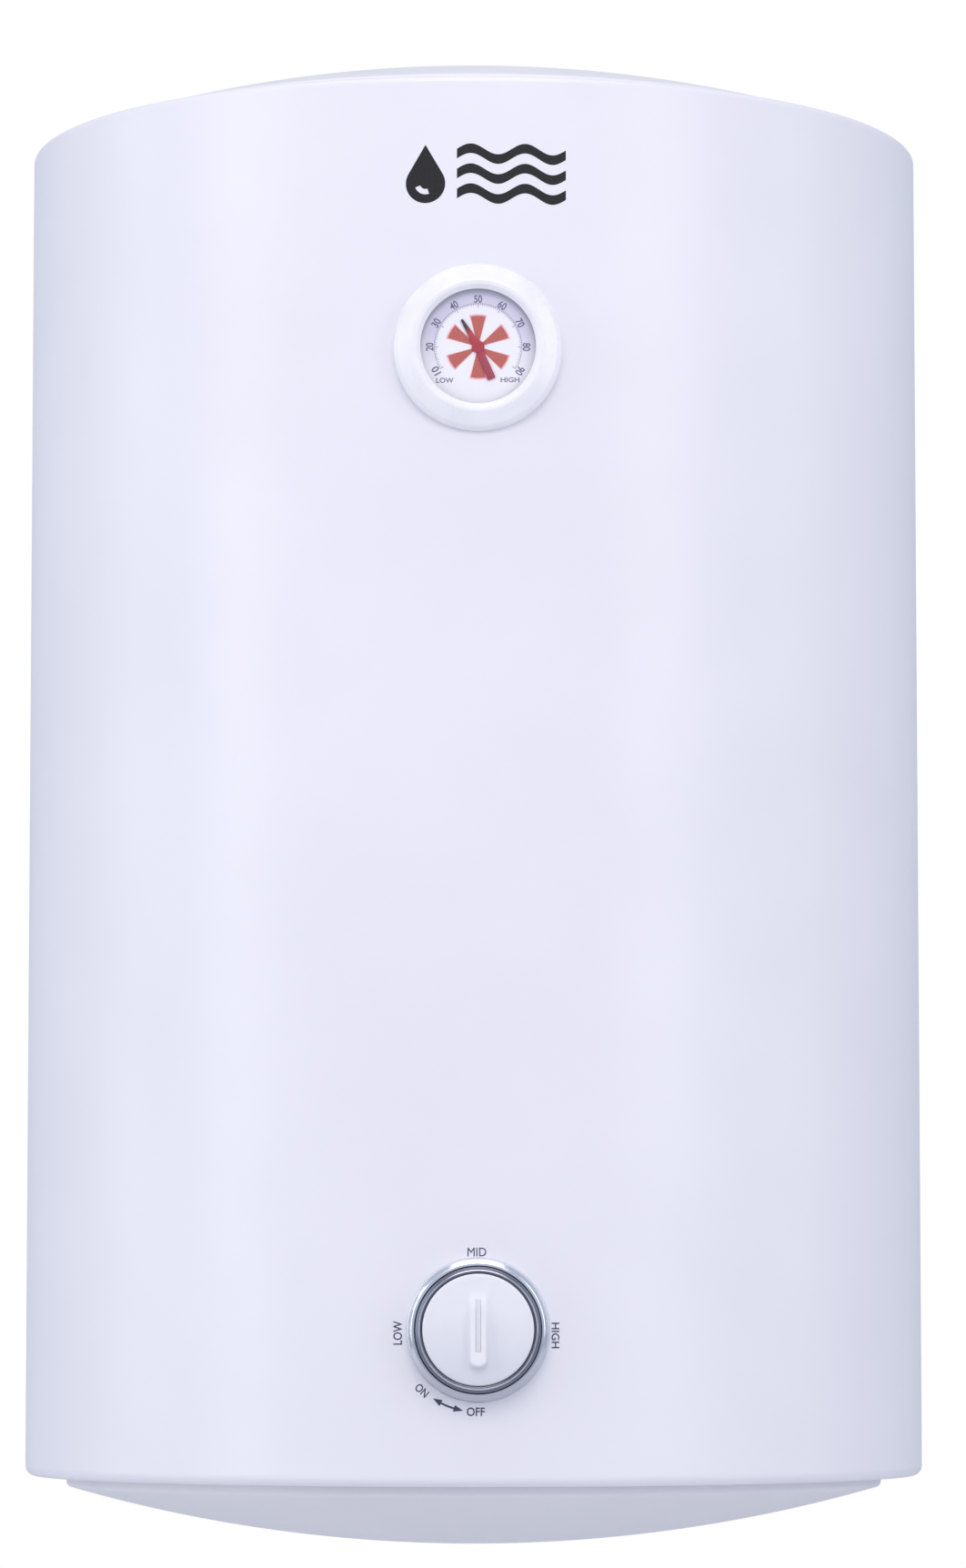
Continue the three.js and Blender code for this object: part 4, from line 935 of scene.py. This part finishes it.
COLLAR_DROP = BOTTOM - box_mm("hot_collar")[0].z
for side in ("hot", "cold"):
    colour = "collar_red" if side == "hot" else "collar_blue"
    low, high = box_mm(f"{side}_nipple")
    centre = centre_mm(f"{side}_nipple")
    place = Matrix.Translation((centre.x, centre.y, low.z))
    add(f"{side}_pipe", threaded_pipe(high.z - low.z), place, "heater", "zinc_steel", f"{side}_nipple")
    low, high = box_mm(f"{side}_collar")
    place = Matrix.Translation((centre.x, centre.y, low.z))
    ring = pipe_collar(centre.x, centre.y - AXIS_Y, high.z - low.z)
    add(f"{side}_ring", ring, place, "heater", colour, f"{side}_collar")

# ---------------- hanging bracket

BRACKET_WALL = 2.5
BRACKET_HALF = 35
LEG_X = 100.9
FOOT_REACH = 14
FOOT_HOLE_REACH = 8
KEYHOLE_X = 70


def bracket_strip():
    """A bent strip seen from above: two feet on the casing, two legs and the back on the wall."""
    angle = math.radians(BRACKET_ANGLE)
    foot = RADIUS + 0.4 + BRACKET_WALL / 2
    foot_x, foot_y = foot * math.sin(angle), AXIS_Y + foot * math.cos(angle)
    bend_y = foot_y + (foot_x - LEG_X) * math.tan(angle)
    end = (foot_x + FOOT_REACH * math.cos(angle), foot_y - FOOT_REACH * math.sin(angle))
    right = [end, (LEG_X, bend_y), (LEG_X, -BRACKET_WALL / 2)]
    middle = [Vector(p) for p in right] + [Vector((-x, y)) for x, y in reversed(right)]

    def side(sign, bend_radii):
        corners = []
        for i, point in enumerate(middle):
            before = (point - middle[max(i - 1, 0)]).normalized()
            after = (middle[min(i + 1, len(middle) - 1)] - point).normalized()
            way = (before + after).normalized()
            spread = sign * BRACKET_WALL / 2 / way.dot(after if i == 0 else before)
            corner = (point.x - way.y * spread, point.y + way.x * spread)
            bend = bend_radii[i] if 0 < i < len(middle) - 1 else 0
            corners.append((*corner, bend) if bend else corner)
        return corners

    inner, outer = 1.2, 3.4
    left_side = side(1, (0, outer, inner, inner, outer, 0))
    right_side = side(-1, (0, inner, outer, outer, inner, 0))
    return rounded(right_side + left_side[::-1], 6)


def keyhole(x):
    """A round entry with a narrow slot above it, drawn in the wall plane."""
    entry = arc((x, -8), 9, 150, 390, 28)
    slot = arc((x, 8), 4.5, 0, 180, 14)
    mesh = slab([entry + slot], -6, 6)
    return moved(mesh, Matrix.Rotation(math.pi / 2, 4, "X"))


strip = slab([bracket_strip()], -BRACKET_HALF, BRACKET_HALF)
holes = [keyhole(-KEYHOLE_X), keyhole(KEYHOLE_X)]
holes += bolt_holes(FOOT_HOLE_REACH, Matrix.Translation((0, AXIS_Y, 0)))
bracket_place = Matrix.Translation((0, 0, BRACKET_Z + BOTTOM))
bracket = bevelled(cut(strip, *holes), 0.35, 2, 50)
add("hanging_bracket", bracket, bracket_place, "heater", "zinc_steel", "wall_bracket")


def hexagon(radius, low, high):
    return slab([arc((0, 0), radius, 30, 330, 5)], low, high)


def hex_bolt():
    """A bolt with a chamfered hexagon head on a washer face. The seat is at height 0."""
    head = hexagon(7.5, 0.6, 5.3)
    crown = lathe([(0, -1), (8.4, -1), (8.4, 3.7), (6.2, 5.3), (0, 5.3)], SMALL_SIDES)
    head = combined(head, crown, "INTERSECT")
    face = lathe([(0, 0), (6.3, 0), (6.4, 0.1), (6.4, 0.7), (0, 0.7)], SMALL_SIDES)
    shank = lathe([(0, -23.3), (3.4, -24), (4, -23.2), (4, 0.3), (0, 0.3)], SMALL_SIDES)
    return joined(bevelled(head, 0.2, 2, 25), face, shank)


bolt_seat = RADIUS + 0.4 + BRACKET_WALL + 0.3
bolts = [(angle, dz) for angle in (-BRACKET_ANGLE, BRACKET_ANGLE) for dz in (BOLT_OFFSET, -BOLT_OFFSET)]
for number, (angle, dz) in enumerate(bolts, 1):
    turn = on_axis(BRACKET_Z + dz) @ Matrix.Rotation(math.radians(-angle), 4, "Z")
    place = turn @ Matrix.Translation((0, bolt_seat, 0)) @ Matrix.Rotation(-math.pi / 2, 4, "X")
    place = place @ Matrix.Rotation(math.radians(13 * number), 4, "Z")
    add(f"hex_bolt_{number}", hex_bolt(), place, "heater", "zinc_steel", f"bracket_bolt_{number}")

# The rubber spacer that keeps the heater upright against the wall, with grip ribs at its back
spacer_low, spacer_high = box_mm("wall_spacer")
spacer_half = (spacer_high.x - spacer_low.x) / 2
channel = 5.3
steps = [channel + (spacer_half - channel) * i / 12 for i in range(13)]


def spacer_front(x):
    return AXIS_Y + math.sqrt((RADIUS + 0.35) ** 2 - x**2)


channel_y = AXIS_Y + RADIUS + 1.3
right_edge = [(x, spacer_front(x)) for x in steps]
left_edge = [(-x, y) for x, y in reversed(right_edge)]
ribs = []
for i in range(9):
    rib_x = spacer_half - 3 - i * (2 * spacer_half - 6) / 8
    ribs += [(rib_x + 1.6, -0.9), (rib_x + 0.9, 0), (rib_x - 0.9, 0), (rib_x - 1.6, -0.9)]
spacer_outline = left_edge + [(-channel, channel_y), (channel, channel_y)] + right_edge + ribs
spacer = bevelled(slab([spacer_outline], spacer_low.z, spacer_high.z), 0.6, 3, 35)
add("rubber_spacer", spacer, Matrix.Identity(4), "heater", "black_rubber", "wall_spacer")

# ---------------- dial thermometer

gauge_place = on_front(0, GAUGE_Z)
WINDOW = 27.3
GAUGE_BORE = 29.8
GAUGE_RIM = 40
DIAL_RADIUS = 27.9
DIAL_FACE = 1.9

bezel_outline = rounded(
    [
        (GAUGE_BORE, -6), (GAUGE_BORE, 4.8), (WINDOW, 4.8, 0.2), (WINDOW + 0.1, 5.2, 0.3),
        (WINDOW + 2.1, 6.8, 1.2), (WINDOW + 4.0, 7.0, 2.2), (GAUGE_RIM - 2.2, 4.1, 4),
        (GAUGE_RIM - 0.5, 2.4, 1.4), (GAUGE_RIM, 1.2, 0.6), (GAUGE_RIM, -6),
    ],
    8,
)
add("gauge_surround", seated(lathe(bezel_outline)), gauge_place, "heater", "bezel_white", "gauge_bezel")

lens_outline = [(0, 3.5), (29.0, 3.5), (29.2, 3.7), (29.2, 4.1), (29.0, 4.3)]
lens_outline += [(29.0 * (1 - i / 10), 4.3 + 0.4 * (1 - (1 - i / 10) ** 2)) for i in range(1, 11)]
add("gauge_window", lathe(lens_outline), gauge_place, "heater", "gauge_lens", "gauge_lens")

card_outline = [
    (1.4, DIAL_FACE - 1), (DIAL_RADIUS - 0.2, DIAL_FACE - 1), (DIAL_RADIUS, DIAL_FACE - 0.8),
    (DIAL_RADIUS, DIAL_FACE - 0.15), (DIAL_RADIUS - 0.15, DIAL_FACE), (1.4, DIAL_FACE),
]
add("dial_card", lathe(card_outline), gauge_place, "heater", "dial_print", "gauge_dial")

PRINT = 0.06
NUMERAL_RADIUS = 22.9
TICK_RADII = (19.6, 20.8)
SCALE_END = 120


def clockwise(degrees, radius):
    """A point at an angle clockwise from 12 o'clock."""
    angle = math.radians(degrees)
    return radius * math.sin(angle), radius * math.cos(angle)


def dial_figures():
    """Numerals every 30 degrees, fine ticks between them, the scale's line and two words."""
    shapes = []
    for i in range(9):
        degrees = -SCALE_END + 30 * i
        figure = lettering(str(10 * (i + 1)), 3.9, 3.7, PRINT, 0.02)
        x, y = clockwise(degrees, NUMERAL_RADIUS)
        shapes.append(moved(figure, turned(-degrees, x, y)))
    for i in range(81):
        degrees = -SCALE_END + 3 * i
        half = 0.13 if i % 10 == 0 else 0.075
        inner = TICK_RADII[0] - (0.8 if i % 10 == 0 else 0)
        tick = block((-half, half), (inner, TICK_RADII[1]), (0, PRINT))
        shapes.append(moved(tick, turned(-degrees)))
    line = arc((0, 0), TICK_RADII[1], 90 - SCALE_END, 90 + SCALE_END, 96)
    line += arc((0, 0), TICK_RADII[1] - 0.12, 90 + SCALE_END, 90 - SCALE_END, 96)
    shapes.append(slab([line], 0, PRINT))
    shapes.append(moved(lettering("LOW", 8.2, 2.4, PRINT, 0.015), turned(0, -15.7, -16.0)))
    shapes.append(moved(lettering("HIGH", 8.8, 2.4, PRINT, 0.015), turned(0, 15.1, -15.7)))
    return joined(*shapes)


def wedges(radius, half_angle, start, thickness):
    """Six blades from the middle of the dial, one every 60 degrees."""
    shapes = []
    for i in range(6):
        rim = [clockwise(60 * i + half_angle * (j / 4 - 1), radius) for j in range(9)]
        root = [clockwise(60 * i + half_angle, start), clockwise(60 * i - half_angle, start)]
        shapes.append(slab([rim + root], 0, thickness))
    return joined(*shapes)


dial_top = gauge_place @ Matrix.Translation((0, 0, DIAL_FACE - 0.01))
blade_rims = wedges(15.7, 15.6, 1.2, PRINT * 0.6)
blades = wedges(14.9, 13.6, 0.6, PRINT)
add("dial_figures", dial_figures(), dial_top, "heater", None, material=dial_ink)
add("dial_blade_rims", blade_rims, dial_top, "heater", None, material=wedge_rim_ink)
add("dial_blades", blades, dial_top, "heater", None, material=wedge_ink)

TAIL_BEND = 8


def needle():
    """The needle drawn pointing up: a narrow tip, a broad tail and a riveted hub on its spindle."""
    bend = math.radians(TAIL_BEND)
    tail = [
        (x * math.cos(bend) + y * math.sin(bend), y * math.cos(bend) - x * math.sin(bend), 0.5)
        for x, y in ((1.7, -3), (2, -16.7), (-2, -16.7), (-1.7, -3))
    ]
    outline = rounded([(-0.55, 15.1, 0.3), (0.55, 15.1, 0.3), (1.7, 3.2, 1)] + tail + [(-1.7, 3.2, 1)], 4)
    blade = bevelled(slab([outline], 2.1, 2.7), 0.15, 2, 50)
    hub = lathe(
        [(0, -16), (0.8, -16), (0.9, -15.8), (0.9, 2.0), (2.9, 2.0), (3.0, 2.1), (3.0, 2.8), (2.7, 3.05),
         (1.4, 3.1), (1.2, 2.9), (0, 2.9)],
        SMALL_SIDES,
    )
    return joined(blade, hub)


NEEDLE_ANGLE = 30.8
needle_place = gauge_place @ Matrix.Rotation(math.radians(NEEDLE_ANGLE), 4, "Z")
add("needle", needle(), needle_place, "gauge_needle", "needle_red", "gauge_pointer")

# ---------------- thermostat knob

knob_place = on_front(0, KNOB_Z)
KNOB_RADIUS = 26
KNOB_BACK = 4
KNOB_EDGE = 13.6
RIDGE_TOP = 17.7
RING_INNER = 26.3
RING_OUTER = 29.3
RING_TOP = 13.6
DISH_INNER = 29.8
DISH_OUTER = 33.8
DISH_FLOOR = 1.8

dish_outline = rounded(
    [
        (8.5, -6), (8.5, DISH_FLOOR, 0.5), (DISH_INNER, DISH_FLOOR, 0.6), (DISH_INNER, 7.3, 0.12),
        (DISH_INNER + 1.3, 7.05, 1.2), (DISH_OUTER - 0.9, 5.6, 1.8), (DISH_OUTER, 3.4, 0.5),
        (DISH_OUTER, -6),
    ],
    6,
)
dish = cut(
    seated(lathe(dish_outline)),
    *[moved(rod(SCREW_HOLE, -9, 9), Matrix.Translation((x, 0, 0))) for x in (-SCREW_X, SCREW_X)],
)
add("knob_surround", dish, knob_place, "heater", "chrome_trim", "knob_bezel")

ring_outline = rounded(
    [
        (RING_INNER, KNOB_BACK), (RING_OUTER, KNOB_BACK), (RING_OUTER, RING_TOP - 1.6, 0.5),
        (RING_LINES[1] + 0.3, RING_TOP - 0.9, 0.3), (RING_LINES[1], RING_TOP - 0.2, 0.25),
        (RING_LINES[0], RING_TOP, 0.25), (RING_LINES[0] - 0.3, RING_TOP - 0.7, 0.3),
        (RING_INNER, RING_TOP - 0.9, 0.2),
    ],
    4,
)
ring = lathe(ring_outline)
add("trim_ring", ring, knob_place, "knob", "chrome_trim", "knob_trim_ring", material=ringed_chrome())

# The knob's face: an even slant from its lower side, and a soft step up towards its top
FACE_LOW_Y = -24
FACE_SLANT = 0.03
FACE_STEP = 1.1
STEP_FROM, STEP_TO = -6, 18

RIDGE_HALF = 4.55
RIDGE_ENDS = (-17.6, 17.9)
RAMP_LENGTH = 9
SLOT_GAP = 0.06


def smooth_step(value, start, end):
    share = min(max((value - start) / (end - start), 0), 1)
    return share * share * (3 - 2 * share)


def face_height(y):
    """The height of the knob's face, which rises a little towards the top."""
    return KNOB_EDGE + FACE_SLANT * (y - FACE_LOW_Y) + FACE_STEP * smooth_step(y, STEP_FROM, STEP_TO)


def ridge_height(x, y):
    """The height of the finger ridge on the knob's face: round shoulders and a ramp at its top."""
    across = 1 - smooth_step(abs(x), RIDGE_HALF - 1.5, RIDGE_HALF + 0.5)
    low_end = smooth_step(y, RIDGE_ENDS[0] - 0.6, RIDGE_ENDS[0] + 1.2 + 0.18 * x * x)
    ramp = 1 - smooth_step(y, RIDGE_ENDS[1] - RAMP_LENGTH, RIDGE_ENDS[1] + 1.5)
    face = face_height(y)
    return face + (RIDGE_TOP - face) * across * low_end * ramp


def finger_ridge():
    """The ridge as a closed block, its upper side a fine grid and its foot sunk in the face."""
    columns = [-6 + 0.3 * i for i in range(41)]
    rows = [-20 + 0.5 * i for i in range(82)]
    body = bmesh.new()

    def ring(y):
        top = [body.verts.new((x, y, ridge_height(x, y) - 0.04)) for x in columns]
        base = [body.verts.new((x, y, KNOB_EDGE - 2)) for x in (columns[-1], columns[0])]
        return top + base

    rings = [ring(y) for y in rows]
    count = len(rings[0])
    for near, far in zip(rings, rings[1:]):
        for i in range(count):
            j = (i + 1) % count
            body.faces.new([near[i], near[j], far[j], far[i]])
    body.faces.new(rings[0])
    body.faces.new(rings[-1])
    return mesh_of(body)


def marker_spans(gap):
    """The marker strip's spans in X, Y and Z at the knob's place, wider by a gap all round."""
    low, high = box_mm("knob_marker")
    return (
        (low.x - gap, high.x + gap),
        (low.z - KNOB_Z - gap, high.z - KNOB_Z + gap),
        (FRONT - high.y - gap, FRONT - low.y + gap),
    )


def knob_body():
    """The cap with its hub and finger ridge, bored for the spindle and slotted for the marker."""

    def slanted(angle, radius, height):
        rise = face_height(-radius * math.cos(angle)) - KNOB_EDGE
        return radius, height + rise * smooth_step(height, KNOB_EDGE - 3.5, KNOB_EDGE - 1.5)

    face = [(24 * (1 - i / 16), KNOB_EDGE) for i in range(17)]
    cap_outline = rounded(
        [
            (22.0, KNOB_EDGE - 4.5, 1), (22.6, KNOB_BACK), (KNOB_RADIUS, KNOB_BACK, 0.4),
            (KNOB_RADIUS, KNOB_EDGE, 1.7), face[0],
        ],
        6,
    )
    cap = lathe([(0, KNOB_EDGE - 4.5)] + cap_outline + face[1:], shape=slanted)
    hub = rod(6, KNOB_BACK + 1.5, KNOB_EDGE - 1)
    body = combined(cap, hub, "UNION")
    body = combined(body, finger_ridge(), "UNION")
    bore = rod(3.3, KNOB_BACK - 3, 12.9)
    across, along, deep = marker_spans(SLOT_GAP)
    slot = block(across, along, (deep[0], RIDGE_TOP + 2))
    return cut(body, bore, slot)


add("knob", knob_body(), knob_place, "knob", "knob_white", "control_knob", sharp=40)
marker = bevelled(block(*marker_spans(0)), 0.25, 3)
add("marker", marker, knob_place, "knob", "marker_grey", "knob_marker")

# ---------------- printing on the casing

CASING_PRINT = 0.08
casing_place = on_axis()


def legend(words, width, height, x, y, degrees=0, weight=0.012):
    """Lettering round the knob, at a place measured from the knob's middle."""
    flat = moved(lettering(words, width, height, CASING_PRINT, weight), turned(degrees, x, y))
    return wrapped(flat, 0, KNOB_Z)


def double_arrow():
    """A slightly curved arrow with a head at each end, running between ON and OFF."""
    radius = 38.1
    ends = (236.5, 259.5)
    head, half_head, half_line = 4.4, 1.6, 0.45
    head_turn = math.degrees(head / radius)
    inner = arc((0, 0), radius - half_line, ends[0] + head_turn, ends[1] - head_turn, 12)
    outer = arc((0, 0), radius + half_line, ends[1] - head_turn, ends[0] + head_turn, 12)

    def arrowhead(tip, root, sides):
        """Three points: a corner, the tip and the other corner. The angles are in degrees."""
        places = ((root, radius + sides[0]), (tip, radius), (root, radius + sides[1]))
        return [arc((0, 0), distance, angle, angle, 1)[0] for angle, distance in places]

    right = arrowhead(ends[1], ends[1] - head_turn, (-half_head, half_head))
    left = arrowhead(ends[0], ends[0] + head_turn, (half_head, -half_head))
    return wrapped(slab([inner + right + outer + left], 0, CASING_PRINT), 0, KNOB_Z)


legends = [
    legend("MID", 8.7, 4.0, -0.5, 36.2, weight=0),
    legend("LOW", 11.0, 4.2, -37.6, -1.4, 90),
    legend("HIGH", 11.9, 3.7, 36.4, -2.6, -90),
    legend("ON", 6.5, 3.9, -26.2, -28.1, -42),
    legend("OFF", 8.4, 4.0, -1.0, -38.0),
    double_arrow(),
]
add("knob_legends", joined(*legends), casing_place, "heater", None, material=legend_ink)

MARK_Z = 102.5
MARK_X = 3
WAVE_PITCH = 9.6
WAVE_LENGTH = 26
WAVE_HALF = 2.3
WAVE_STEP = 2 / 3


def mark_shapes():
    """A plain sign for hot water: a drop beside three waves."""
    drop = [(0, 14)] + arc((0, -4.6), 9.4, 33, -213, 40)
    hole = arc((0, -4.6), 5.2, 200, 290, 14) + arc((0, -4.6), 2.6, 290, 200, 14)
    shapes = [moved(slab([drop, hole], 0, CASING_PRINT), turned(0, -28, 0))]
    steps = [WAVE_STEP * i for i in range(79)]
    for row in (-WAVE_PITCH, 0, WAVE_PITCH):
        line = [(step - 13, row + 2.6 * math.sin(2 * math.pi * step / WAVE_LENGTH)) for step in steps]
        upper = [(x, y + WAVE_HALF) for x, y in line]
        lower = [(x, y - WAVE_HALF) for x, y in line]
        shapes.append(slab([lower + upper[::-1]], 0, CASING_PRINT))
    return wrapped(joined(*shapes), MARK_X, MARK_Z)


add("front_mark", mark_shapes(), casing_place, "heater", None, material=mark_ink)

# ------------------------------------------------------------------ CAD nodes that stay

KEPT = {
    "foam": ["insulation_foam"],
    "tank_enamel": ["tank_body", "tank_top_head", "tank_bottom_head"],
    "zinc_steel": [
        "tank_flange_collar", "flange_plate", "flange_bolt_1", "flange_bolt_2", "flange_bolt_3",
        "flange_bolt_4", "thermostat_spindle", "thermostat_screw_left", "thermostat_screw_right",
        "hot_dip_tube", "bracket_boss_left", "bracket_boss_right",
    ],
    "gasket_rubber": ["flange_gasket"],
    "copper": ["heating_element", "thermowell", "thermostat_bulb"],
    "brass": ["element_terminal_left", "element_terminal_right", "bimetal_coil"],
    "anode_metal": ["magnesium_anode"],
    "black_plastic": ["thermal_cutout", "thermostat_body", "gauge_housing"],
    "collar_red": ["reset_button"],
    "white_plastic": ["terminal_block", "cold_inlet_diffuser"],
    "wire_brown": ["live_wire"],
    "wire_black": ["element_wire", "thermostat_wire"],
    "wire_blue": ["neutral_wire"],
    "wire_green": ["earth_wire"],
}
for slot, names in KEPT.items():
    for name in names:
        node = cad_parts[name]
        node.data.materials.clear()
        node.data.materials.append(finishes[slot])

# ------------------------------------------------------------------ floor, world and lights

FLOOR_Z = -1.2
floor_finish = Finish("floor_paint", (0.82, 0.82, 0.84), 0.7)
floor_finish.mottled((0.80, 0.80, 0.82), (0.84, 0.84, 0.86), 400, 2)
floor_mesh = lathe([(0, -20), (12000, -20), (12000, 0), (0, 0)], 96)
floor_mesh.transform(Matrix.Scale(MM, 4))
floor_mesh.materials.append(floor_finish.material)
floor = bpy.data.objects.new("floor", floor_mesh)
floor.location = (0, AXIS_Y * MM, FLOOR_Z)
bpy.context.scene.collection.objects.link(floor)

WORLD_LIGHT = 0.65
SIDE_COLOUR = (1, 0.98, 0.9)
TOP_COLOUR = (1, 0.855, 0.83)
world = bpy.data.worlds.new("studio")
world.use_nodes = True
bpy.context.scene.world = world
world_nodes, world_links = world.node_tree.nodes, world.node_tree.links
soft = world_nodes["Background"]
soft.inputs["Color"].default_value = (0.76, 0.83, 1.0, 1)
soft.inputs["Strength"].default_value = WORLD_LIGHT
plain = world_nodes.new("ShaderNodeBackground")
plain.inputs["Color"].default_value = (1, 1, 1, 1)
seen = world_nodes.new("ShaderNodeLightPath")
mixed = world_nodes.new("ShaderNodeMixShader")
world_links.new(seen.outputs["Is Camera Ray"], mixed.inputs[0])
world_links.new(soft.outputs[0], mixed.inputs[1])
world_links.new(plain.outputs[0], mixed.inputs[2])
world_links.new(mixed.outputs[0], world_nodes["World Output"].inputs["Surface"])


def softbox(name, azimuth, elevation, distance, width, height, power, colour=(1, 1, 1)):
    """A soft rectangular light facing the heater's middle. Azimuth 0 is the front, and 90 its right."""
    light = bpy.data.lights.new(name, "AREA")
    light.shape = "RECTANGLE"
    light.size = width
    light.size_y = height
    light.energy = power
    light.color = colour
    box = bpy.data.objects.new(name, light)
    target = Vector((0, AXIS_Y * MM, (BOTTOM + HEIGHT / 2) * MM))
    a, e = math.radians(azimuth), math.radians(elevation)
    away = Vector((math.sin(a) * math.cos(e), -math.cos(a) * math.cos(e), math.sin(e)))
    box.location = target + away * distance
    box.rotation_euler = (-away).to_track_quat("-Z", "Y").to_euler()
    bpy.context.scene.collection.objects.link(box)


softbox("softbox_far_left", -92, 5, 2.6, 0.8, 2.4, 5.7, SIDE_COLOUR)
softbox("softbox_left", -60, 10, 2.8, 0.8, 2.4, 13, SIDE_COLOUR)
softbox("softbox_near_left", -34, 12, 3.4, 0.9, 2.4, 1.9, SIDE_COLOUR)
softbox("softbox_right", 46, 12, 3.0, 1.1, 2.2, 13.8, SIDE_COLOUR)
softbox("softbox_top", 0, 38, 3.2, 2.0, 1.3, 29, TOP_COLOUR)
softbox("softbox_overhead", 0, 76, 2.2, 2.0, 1.6, 8, SIDE_COLOUR)
softbox("strip_right", 86, 5, 2.6, 0.35, 2.2, 2.0, SIDE_COLOUR)

view = bpy.context.scene.view_settings
view.view_transform = "Standard"
view.look = "None"
